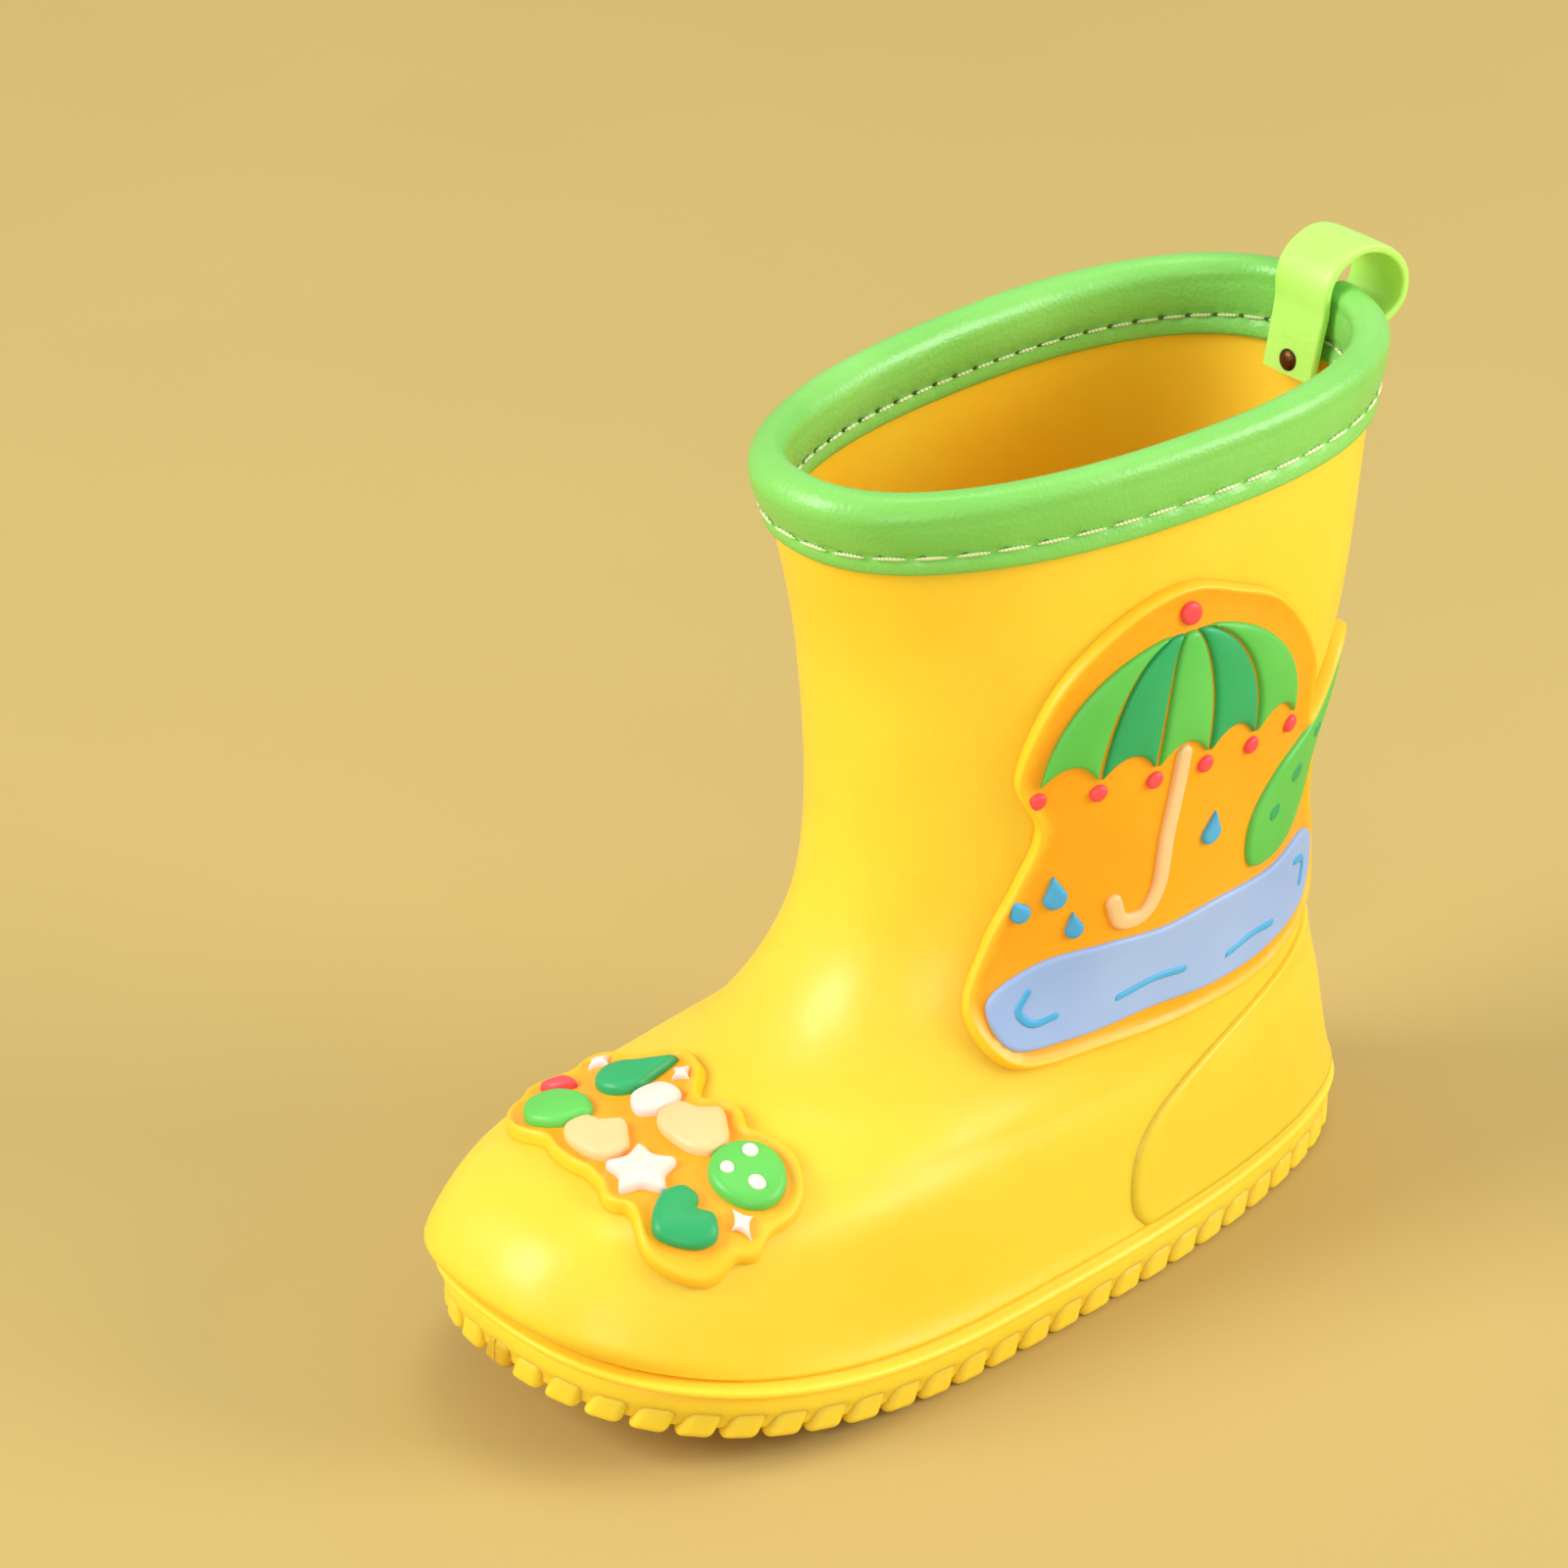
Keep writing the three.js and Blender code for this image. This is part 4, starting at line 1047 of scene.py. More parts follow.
# ---------------------------------------------------------------- collar
@dataclass
class Collar:
    """The padded binding tape on the rim, with its two rows of stitches."""

    copies: AlongPath
    drop: float = 9.8
    bulb: float = 3.2
    join: float = 7.0
    margin: float = 3.4
    outer_pitch: float = 6.5
    inner_pitch: float = 4.5
    dimple: float = 0.3
    steps: int = 560

    @property
    def angles(self) -> np.ndarray:
        """Angles from one end of the tape round to the other, leaving the opening at the back."""
        half = self.join / LAST.rim_width
        return np.linspace(math.pi + half, 3 * math.pi - half, self.steps)

    def build(self) -> None:
        """Builds the binding and its stitches."""
        self.binding()
        self.stitches("outer", self.outer_pitch, 1.32, "needle_thread")
        self.stitches("inner", self.inner_pitch, -LAST.wall - 1.34, "bobbin_thread")

    def profile(self) -> np.ndarray:
        """The tape's section: offset from the shell and height from the rim edge, all the way round.

        Returns:
            The section's points, closed back to the first.
        """
        middle = -LAST.wall / 2
        hem = [(0.22, 0.1), (0.75, -0.1), (1.25, 0.15), (1.42, 0.9), (1.36, 2.2), (1.12, self.margin),
               (1.5, 4.7)]
        outer = [(d, h - self.drop) for d, h in hem] + [(1.85, -3.4), (2.05, -1.6)]
        roll = [(middle + self.bulb * math.cos(a), 0.45 + self.bulb * math.sin(a))
                for a in np.radians(np.linspace(-12, 192, 19))]
        inner = [(2 * middle - d, h) for d, h in outer[::-1]]
        clear, deep = 0.22, -5.0
        pocket = [(-LAST.wall - clear, deep), (-LAST.wall - clear, clear), (clear, clear), (clear, deep)]
        face = through(outer + roll + inner, closed=False, per_span=4)
        return np.vstack([even(face, 0.55, closed=False), pocket])

    def binding(self) -> None:
        """The tape: padded over the rim and drawn in along each row of stitches."""
        section = self.profile()
        angles = self.angles
        edge = LAST.skin(np.full(self.steps, LAST.rim), angles, np.zeros(self.steps))
        run = np.concatenate([[0], np.cumsum(np.linalg.norm(np.diff(edge, axis=0), axis=1))])[:, None]
        offsets, heights = section[:, 0][None, :], section[:, 1][None, :]
        near = np.exp(-(heights + self.drop - self.margin) ** 2)
        outer_side = offsets > 0.5
        inner_side = offsets < -LAST.wall - 0.5
        pull_out = 0.55 + 0.45 * np.cos(TAU * run / self.outer_pitch)
        pull_in = 0.55 + 0.45 * np.cos(TAU * run / self.inner_pitch)
        swell = 0.1 * np.sin(TAU * run / 47 + 1) + 0.05 * np.sin(TAU * run / 19)
        padded = np.clip((heights + 6) / 6, 0, 1)
        shift = self.dimple * near * (pull_in * inner_side - pull_out * outer_side)
        shift = shift + swell * padded * np.sign(offsets + LAST.wall / 2) * (outer_side | inner_side)
        points = LAST.beside_rim(angles[:, None], offsets + shift, np.broadcast_to(heights, shift.shape))
        tape = make_object("binding_tape", points, ring_faces(self.steps, len(section)))
        cap_ends(tape)
        outwards(tape, crease=60)
        finish_piece(tape, Finishes.BINDING, Body.ROOT, "collar_binding")

    def stitches(self, name: str, pitch: float, offset: float, node: str) -> None:
        """One row of stitches, with dark grains between them that paint the shade in the needle holes.

        Args:
            name: Which side of the tape.
            pitch: Stitch length.
            offset: Where the thread lies, from the shell's outer face.
            node: The frame node that it stands for.
        """
        height = self.margin - self.drop
        angles = self.angles[3:-3]
        sunk = offset - math.copysign(0.25, offset)
        thread = self.seed("stitch", (pitch * 0.42, 0.3, 0.3))
        # Painted shade: dark grains sunk into the tape stand for the shade in the needle holes.
        shade_grain = self.seed("needle_hole", (0.55, 0.3, 0.36))
        row = self.copies.run(f"{name}_stitches", LAST.beside_rim(angles, offset, height), thread, pitch,
                              pitch / 2, Finishes.THREAD, closed=False)
        holes = self.copies.run(f"{name}_needle_holes", LAST.beside_rim(angles, sunk, height), shade_grain, pitch,
                                0.0, Finishes.NEEDLE_HOLE_SHADE, closed=False)
        for seed in (thread, shade_grain):
            bpy.data.objects.remove(seed)
        finish_piece(row, Finishes.THREAD, Body.ROOT, node)
        finish_piece(holes, Finishes.NEEDLE_HOLE_SHADE, Body.ROOT)

    def seed(self, name: str, half_sizes: tuple[float, float, float]) -> bpy.types.Object:
        """A small blunt grain to repeat, with its half sizes in millimetres.

        Args:
            name: The shape's name.
            half_sizes: Along the row, across it and up.

        Returns:
            The shape, to be removed after use.
        """
        form = bmesh.new()
        bmesh.ops.create_uvsphere(form, u_segments=8, v_segments=8, radius=1.0)
        bmesh.ops.rotate(form, verts=form.verts, matrix=Matrix.Rotation(math.pi / 2, 3, "Y"))
        for vert in form.verts:
            blunt = math.copysign(abs(vert.co.x) ** 0.75, vert.co.x)
            vert.co = Vector([c * half * MM for c, half in zip((blunt, vert.co.y, vert.co.z), half_sizes)])
        return from_form(name, form)


# ---------------------------------------------------------------- pull loop
@dataclass
class PullLoop:
    """The strap that bends over the back of the collar, with its rivet and the size tag beside it."""

    width: float = 12.5
    thickness: float = 1.6
    bulb: float = 3.2
    bow: float = 0.9
    corner: float = 0.55
    crown: float = 0.14
    rivet_drop: float = 9.6
    foot: float = 3.2
    tag_drop: float = 7.8
    tag_width: float = 9.0
    tag_height: float = 8.0
    tag_aside: float = 13.0
    tag_offset: float = 1.6
    bend_middle: tuple[float, float, float] = (0.0, 91.4, 151.3)
    bend_away: tuple[float, float, float] = (0.0, 0.596, 0.803)
    bend_half: float = 1.5

    def back(self, drop: float, offset: float) -> np.ndarray:
        """A place on the back of the boot below the rim, off the shell's face."""
        index = LAST.index_at(np.array(LAST.rim_height - drop))
        return LAST.skin(index, np.array(math.pi), np.array(offset))

    def leg_offsets(self) -> tuple[float, float]:
        """Where the strap's middle lies on the inner and on the outer face of the binding."""
        clear = self.bulb + LAST.gap + self.thickness / 2
        return -LAST.wall / 2 - clear - self.bow, -LAST.wall / 2 + clear

    def route(self) -> np.ndarray:
        """The strap's middle line, from its inner end over the rim to its outer end.

        Returns:
            Evenly spaced points in millimetres.
        """
        inside, outside = self.leg_offsets()
        end = self.rivet_drop + self.foot
        top = LAST.beside_rim(np.array(math.pi), inside, self.bulb)
        arch = ((2.2, 3.1), (7.4, 5), (13.2, 3.2), (17, -1.4), (16.6, -6.4), (12.6, -9.4))
        over = [top + (0, y, z) for y, z in arch]
        given = [self.back(end, inside), self.back(end / 2, inside), self.back(2, inside), top, *over,
                 self.back(end - 7, outside), self.back(end, outside)]
        return even(through(given, closed=False, per_span=24), 0.45, closed=False)

    def build(self) -> None:
        """Builds the strap, the rivet and the tag."""
        self.strap()
        self.rivet()
        self.tag()

    def strap_section(self) -> np.ndarray:
        """The strap's section: across its width and off its middle, with round corners and a crown.

        Returns:
            The section's points, anticlockwise.
        """
        half, deep = self.width / 2, self.thickness / 2
        corners = []
        for sx, sz in ((1, 1), (-1, 1), (-1, -1), (1, -1)):
            middle = math.atan2(sz, sx)
            for a in np.linspace(middle - math.pi / 4, middle + math.pi / 4, 5):
                corners.append(np.array([sx * (half - self.corner) + self.corner * math.cos(a),
                                         sz * (deep - self.corner) + self.corner * math.sin(a)]))
        section = []
        for start, stop in zip(corners, corners[1:] + corners[:1]):
            steps = 12 if abs(start[0] - stop[0]) > half else 1
            section += [start + (stop - start) * k / steps for k in range(steps)]
        section = np.array(section)
        section[:, 1] += self.crown * (1 - (section[:, 0] / half) ** 2)
        return section

    def strap(self) -> None:
        """One strap, a little narrower at its ends, shaped over the back of the collar."""
        line = self.route()
        tangent = np.gradient(line, axis=0)
        tangent /= np.linalg.norm(tangent, axis=1, keepdims=True)
        off = np.stack([np.zeros(len(line)), -tangent[:, 2], tangent[:, 1]], axis=1)
        section = self.strap_section()
        taper = 1 - 0.06 * np.cos(TAU * np.linspace(0, 1, len(line)))
        points = line[:, None, :] + off[:, None, :] * section[None, :, 1, None]
        points[..., 0] += section[:, 0][None, :] * taper[:, None]
        strap = make_object("pull_strap", points, ring_faces(len(line), len(section)))
        cap_ends(strap)
        outwards(strap, crease=60)
        strap.data.materials.append(Finishes.material(Finishes.STRAP))
        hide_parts("pull_loop_inner_leg", "pull_loop_arch", "pull_loop_outer_leg")
        middle = Vector(self.bend_middle) * MM
        half_band = Vector(self.bend_away) * self.bend_half * MM
        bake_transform(strap)
        log.info("pull_strap: %d faces", len(strap.data.polygons))

    def rivet(self) -> None:
        """The rivet's head inside the boot, and its washer and tail outside, as radii and places along Y."""
        inside, outside = self.leg_offsets()
        centre = self.back(self.rivet_drop, -LAST.wall / 2)
        head_at = self.back(self.rivet_drop, inside)[1] - self.thickness / 2 - 0.1
        tail_at = self.back(self.rivet_drop, outside)[1] + self.thickness / 2 + 0.1
        head = [(0, -1.0), (0.5, -0.98), (1.1, -0.85), (1.6, -0.62), (1.95, -0.3), (2.1, 0.0), (1.9, 0.15),
                (0.9, 0.2)]
        tail = [(0.9, 1.1), (0.6, 1.5), (0, 1.6)]
        ring = [(0.95, -0.2), (2.0, -0.2), (2.1, 0), (2.0, 0.45), (1.6, 0.75), (1.2, 0.85), (0.95, 0.8)]
        pin = [(r, head_at + y) for r, y in head] + [(r, tail_at + y) for r, y in tail]
        rivet = self.turned("rivet", pin, centre, closed=False)
        washer = self.turned("rivet_washer", [(r, tail_at + y) for r, y in ring], centre, closed=True)
        finish_piece(rivet, Finishes.RIVET, Body.ROOT, "loop_rivet")
        finish_piece(washer, Finishes.RIVET, Body.ROOT, "loop_rivet_washer")

    def turned(self, name: str, outline: Sequence[tuple[float, float]], centre: np.ndarray,
               closed: bool) -> bpy.types.Object:
        """Turns an outline of radius and place along Y round the rivet's axis.

        Args:
            name: The object's name.
            outline: Radii and places along Y.
            centre: A point on the axis.
            closed: Whether the outline returns to its start.

        Returns:
            A closed mesh.
        """
        around = 40
        turns = np.linspace(0, TAU, around, endpoint=False)
        rings = [np.stack([centre[0] + r * np.cos(turns), np.full(around, y), centre[2] + r * np.sin(turns)],
                          axis=1) for r, y in outline]
        faces = ring_faces(len(rings), around)
        if closed:
            last = (len(rings) - 1) * around
            faces += [(last + k, last + (k + 1) % around, (k + 1) % around, k) for k in range(around)]
        return outwards(make_object(name, np.vstack(rings), faces), crease=50)

    def tag(self) -> None:
        """The blank woven tag sewn in beside the strap, hanging a little off the lining."""
        columns, rows = 20, 18
        u, v = np.meshgrid(np.linspace(-0.5, 0.5, columns), np.linspace(0, 1, rows))
        index = LAST.index_at(LAST.rim_height - self.tag_drop - self.tag_height * v)
        angle = math.pi - (self.tag_aside + u * self.tag_width) / (LAST.rim_width / 2)
        hang = 0.35 * v + 0.25 * np.sin(u * 5) * v
        face, cloth = -LAST.wall - self.tag_offset, 0.3
        outer = LAST.skin(index, angle, face - hang)
        inner = LAST.skin(index, angle, face - hang - cloth)
        finish_piece(sandwich("blank_tag", outer, inner), Finishes.TAG, Body.ROOT, "size_tag")


# ---------------------------------------------------------------- inside
@dataclass
class Insole:
    """The loose insole: foam with a knitted cover."""

    foam: float = 3.2
    cover: float = 0.9
    play: float = 0.8
    around: int = 200

    def loft(self, name: str, low: float, section: Sequence[tuple[float, float]]) -> bpy.types.Object:
        """One layer, from distances inside the insole's edge and heights over its underside."""
        angles = np.linspace(0, TAU, self.around, endpoint=False)
        edge = 2 * LAST.wall + self.play
        return closed_loft(name, [LAST.footprint(angles, -edge - m, low + h) for m, h in section])

    def build(self) -> None:
        """Builds the foam and its cover, both rounded at the edge."""
        low = LAST.sole_thickness + LAST.gap + LAST.floor + LAST.gap
        foam = self.loft("insole_pad", low, [
            (0.5, 0.0), (0.1, 0.3), (0.0, 0.9), (0.0, self.foam - 0.3), (0.2, self.foam)])
        finish_piece(foam, Finishes.FOAM, Body.ROOT, "insole_foam")
        cover = self.loft("insole_top", low + self.foam + LAST.gap, [
            (0.1, -0.25), (0.0, 0.1), (0.05, 0.5), (0.3, 0.8), (0.8, self.cover), (3.0, self.cover)])
        finish_piece(cover, Finishes.LINING, Body.ROOT, "insole_cover")


# ---------------------------------------------------------------- badges
class Outline:
    """Flat outlines of the badges' plates and inlays, in millimetres."""

    @staticmethod
    def disc(x: float, y: float, r: float) -> np.ndarray:
        """A circle."""
        a = np.linspace(0, TAU, 48, endpoint=False)
        return np.stack([x + r * np.cos(a), y + r * np.sin(a)], axis=1)

    @staticmethod
    def blob(corners: Sequence[tuple[float, float]]) -> np.ndarray:
        """A closed smooth outline through given corners."""
        return through(corners, closed=True, per_span=12)

    @staticmethod
    def grown(shape: np.ndarray, factor: float) -> np.ndarray:
        """An outline made larger or smaller about its middle."""
        middle = shape.mean(axis=0)
        return middle + (shape - middle) * factor

    @staticmethod
    def drop(x: float, y: float, r: float, lean: float = 0.0) -> np.ndarray:
        """A rain drop: round below, pointed above, turned by an angle.

        Args:
            x: Its middle, across.
            y: Its middle, up.
            r: Its round end's radius.
            lean: The angle in radians.

        Returns:
            The closed outline.
        """
        a = np.linspace(-0.25 * math.pi, 1.25 * math.pi, 28)
        points = np.stack([r * np.cos(-a), r * np.sin(-a)], axis=1)
        points = np.vstack([points, [[-0.22 * r, 1.75 * r], [0, 2.1 * r], [0.22 * r, 1.75 * r]]])
        c, s = math.cos(lean), math.sin(lean)
        return points @ np.array([[c, s], [-s, c]]) + (x, y)

    @staticmethod
    def sparkle(x: float, y: float, r: float) -> np.ndarray:
        """A star with four hollow sides and blunt points.

        Args:
            x: Its middle, across.
            y: Its middle, up.
            r: How far its points reach.

        Returns:
            The closed outline.
        """
        a = np.linspace(0, TAU, 64, endpoint=False)
        hollow, blunt = 0.62, 0.93
        reach = (np.abs(np.cos(a)) ** hollow + np.abs(np.sin(a)) ** hollow) ** (-1 / hollow)
        reach = r * np.minimum(reach, blunt)
        return np.stack([x + reach * np.cos(a), y + reach * np.sin(a)], axis=1)

    @staticmethod
    def cloud(x: float, y: float, w: float) -> np.ndarray:
        """A cloud of three lobes."""
        corners = [(-0.5, -0.15), (-0.44, 0.16), (-0.22, 0.24), (-0.02, 0.42), (0.24, 0.3), (0.44, 0.14),
                   (0.5, -0.14), (0.3, -0.32), (-0.3, -0.32)]
        return Outline.blob([(x + a * w, y + b * w) for a, b in corners])

    @staticmethod
    def hug(pieces: Sequence[np.ndarray], margin: float) -> np.ndarray:
        """A wavy outline that follows flat pieces at a margin, as seen from their middle.

        Args:
            pieces: Outlines of the pieces.
            margin: How far the new outline stays off them.

        Returns:
            The closed outline.
        """
        points = np.vstack([even(piece, 0.5, closed=True) for piece in pieces])
        turns = np.linspace(0, TAU, 180, endpoint=False)
        reach = np.empty(len(turns))
        for k, a in enumerate(turns):
            ahead = points @ np.array([math.cos(a), math.sin(a)])
            aside = points @ np.array([-math.sin(a), math.cos(a)])
            near = (np.abs(aside) < margin) & (ahead > 0)
            reach[k] = np.max(ahead[near] + np.sqrt(margin ** 2 - aside[near] ** 2)) if near.any() else 0
        for _ in range(3):
            reach = (np.roll(reach, 1) + 2 * reach + np.roll(reach, -1)) / 4
        return np.stack([reach * np.cos(turns), reach * np.sin(turns)], axis=1)

    @staticmethod
    def stroke(corners: Sequence[tuple[float, float]], width: float) -> np.ndarray:
        """A line drawn with a width and round ends.

        Args:
            corners: The line's corners.
            width: Its width.

        Returns:
            The closed outline.
        """
        line = through(corners, closed=False, per_span=8)
        tangent = np.gradient(line, axis=0)
        tangent /= np.linalg.norm(tangent, axis=1, keepdims=True)
        normal = np.stack([-tangent[:, 1], tangent[:, 0]], axis=1) * width / 2
        caps = []
        for at, sign in ((-1, 1), (0, -1)):
            first = math.atan2(normal[at][1] * sign, normal[at][0] * sign)
            a = np.linspace(first, first - math.pi, 10)[1:-1]
            caps.append(line[at] + np.stack([np.cos(a), np.sin(a)], axis=1) * width / 2)
        return np.vstack([line + normal, caps[0], (line - normal)[::-1], caps[1]])


def border_edges(faces: Sequence[tuple[int, ...]]) -> list[tuple[int, int]]:
    """The edges that belong to one face only, each in its face's direction."""
    edges = [(a, b) for face in faces for a, b in zip(face, face[1:] + face[:1])]
    directed = set(edges)
    return [(a, b) for a, b in edges if (b, a) not in directed]


class Relief:
    """A flat outline made a soft rubber relief on the shell."""

    RINGS = (0.16, 0.38, 0.65, 1.0, 1.4)   # depths of the rows of points along the edge

    def __init__(self, outline: np.ndarray, spacing: float) -> None:
        """Fills an outline with triangles, finer along its edge.

        Args:
            outline: The closed outline.
            spacing: The size of a triangle along the edge.
        """
        edge = even(outline, spacing, closed=True)
        area = np.sum(edge[:, 0] * np.roll(edge[:, 1], -1) - np.roll(edge[:, 0], -1) * edge[:, 1])
        self.edge = edge if area > 0 else edge[::-1]
        ahead = np.roll(self.edge, -1, axis=0) - np.roll(self.edge, 1, axis=0)
        ahead /= np.linalg.norm(ahead, axis=1, keepdims=True)
        inward = np.stack([-ahead[:, 1], ahead[:, 0]], axis=1)
        rows = []
        for ring in self.RINGS:
            points = self.edge + inward * ring
            rows.append(points[self.depth(points) > ring * 0.93])
        middle = self.field(spacing * 1.9)
        points = np.vstack([self.edge, *rows, middle])
        count, inside_only, merge = len(self.edge), 1, 1e-5
        border = [(k, (k + 1) % count) for k in range(count)]
        filled = delaunay_2d_cdt([Vector(p) for p in points.tolist()], border, [list(range(count))],
                                 inside_only, merge)
        self.points = np.array([tuple(p) for p in filled[0]])
        self.faces = [tuple(f) for f in filled[2]]
        self.inside = np.maximum(self.depth(self.points), 0)

    def field(self, step: float) -> np.ndarray:
        """Evenly staggered points over the middle of the outline.

        Args:
            step: The distance between points.

        Returns:
            The points that lie deep enough.
        """
        low, high = self.edge.min(axis=0), self.edge.max(axis=0)
        row_height = 0.866
        xs, ys = np.meshgrid(np.arange(low[0], high[0], step), np.arange(low[1], high[1], step * row_height))
        xs[1::2] += step / 2
        field = np.stack([xs.ravel(), ys.ravel()], axis=1)
        return field[self.depth(field) > self.RINGS[-1] + step * 0.35]

    def depth(self, points: np.ndarray) -> np.ndarray:
        """How far points are inside the outline; negative outside.

        Args:
            points: Flat points.

        Returns:
            Their distances from the edge.
        """
        start, stop = self.edge, np.roll(self.edge, -1, axis=0)
        run = stop - start
        best = np.full(len(points), 1e9)
        crossings = np.zeros(len(points), int)
        for (ax, ay), by, (rx, ry) in zip(start, stop[:, 1], run):
            t = np.clip(((points[:, 0] - ax) * rx + (points[:, 1] - ay) * ry) / (rx * rx + ry * ry), 0, 1)
            best = np.minimum(best, np.hypot(points[:, 0] - ax - t * rx, points[:, 1] - ay - t * ry))
            straddle = (ay > points[:, 1]) != (by > points[:, 1])
            with np.errstate(divide="ignore", invalid="ignore"):
                at = ax + (points[:, 1] - ay) * rx / (ry if ry else 1e-12)
            crossings += straddle & (points[:, 0] < at)
        return np.where(crossings % 2 == 1, best, -best)

    def build(self, name: str, place: Place, base: float, height: Profile,
              rim: Profile | None = None) -> bpy.types.Object:
        """Bends the relief onto the shell.

        Args:
            name: The piece's name.
            place: Where a flat place and an offset lie on the shell.
            base: The offset of its underside.
            height: Height over the underside, by depth inside the outline.
            rim: Share of the lighter rim colour, by depth.

        Returns:
            A closed mesh.
        """
        u, v = self.points[:, 0], self.points[:, 1]
        count = len(u)
        top = place(u, v, base + height(self.inside))
        bottom = place(u, v, np.full(count, base))
        faces = self.faces + [tuple(count + k for k in face[::-1]) for face in self.faces]
        faces += [(b, a, count + a, count + b) for a, b in border_edges(self.faces)]
        thing = make_object(name, np.vstack([top, bottom]), faces)
        if rim is not None:
            shares = np.concatenate([rim(self.inside), rim(np.zeros(count))])
            layer = thing.data.attributes.new("rim", "FLOAT", "POINT")
            layer.data.foreach_set("value", shares.astype(np.float32))
        return outwards(thing, crease=65)


def rounded(thickness: float, radius: float, crown: float) -> Profile:
    """A height that rolls over from the edge and may go on rising towards the middle.

    Args:
        thickness: Height past the rolled edge.
        radius: Radius of the roll.
        crown: Extra height in the middle.

    Returns:
        The height by depth inside the outline.
    """
    reach = 4.0

    def height(depth: np.ndarray) -> np.ndarray:
        """The height at a depth inside the outline."""
        near = np.clip(depth / radius, 0, 1)
        far = np.clip(depth / reach, 0, 1)
        lift = thickness * (0.35 + 0.65 * np.sqrt(1 - (1 - near) ** 2))
        return lift + crown * np.sin(far * math.pi / 2)
    return height


def rimmed(floor: float, bead: float, width: float) -> Profile:
    """A plate with a raised round rim along its edge.

    Args:
        floor: Height of the plate.
        bead: Extra height of the rim.
        width: The rim's width.

    Returns:
        The height by depth inside the outline.
    """
    roll_radius = 0.5

    def height(depth: np.ndarray) -> np.ndarray:
        """The height at a depth inside the outline."""
        near = np.clip(depth / roll_radius, 0, 1)
        roll = floor * (0.4 + 0.6 * np.sqrt(1 - (1 - near) ** 2))
        return roll + bead * np.exp(-((depth - width / 2) / (width * 0.36)) ** 4)
    return height


@dataclass
class Badge:
    """A soft rubber badge: a plate with a raised rim, and coloured inlays poured into it."""

    place: Place
    floor: float = 1.45
    bead: float = 0.85
    bead_width: float = 1.7
    plate_spacing: float = 0.8
    spacing: float = 0.62
    back: float = 0.02
    sunk: float = 0.05

    def rim_share(self, depth: np.ndarray) -> np.ndarray:
        """The share of the lighter rim colour, which fades past the bead."""
        return np.clip(1.25 - depth / self.bead_width * 0.9, 0, 1)

    def plate(self, name: str, outline: np.ndarray, node: str) -> None:
        """The badge's base plate.

        Args:
            name: The piece's name.
            outline: Its flat outline.
            node: The frame node's name.
        """
        height = rimmed(self.floor, self.bead, self.bead_width)
        relief = Relief(outline, self.plate_spacing)
        piece = relief.build(name, self.place, self.back, height, self.rim_share)
        finish_piece(piece, Finishes.AMBER, Body.ROOT, node)

    def inlay(self, name: str, outline: np.ndarray, finish: Finish, thickness: float, radius: float,
              crown: float = 0.0, lift: float = 0.0, spacing: float | None = None) -> None:
        """One coloured inlay.

        Args:
            name: The frame node's name.
            outline: Its flat outline.
            finish: Its finish.
            thickness: Height of its edge over the plate.
            radius: Radius of its rolled edge.
            crown: Extra height in its middle.
            lift: Extra height of its underside, for a mark on top of another inlay.
            spacing: The size of its triangles.
        """
        relief = Relief(outline, spacing or self.spacing)
        base = self.floor - self.sunk + lift
        piece = relief.build(name + "_relief", self.place, base, rounded(thickness, radius, crown))
        finish_piece(piece, finish, Body.ROOT, name)


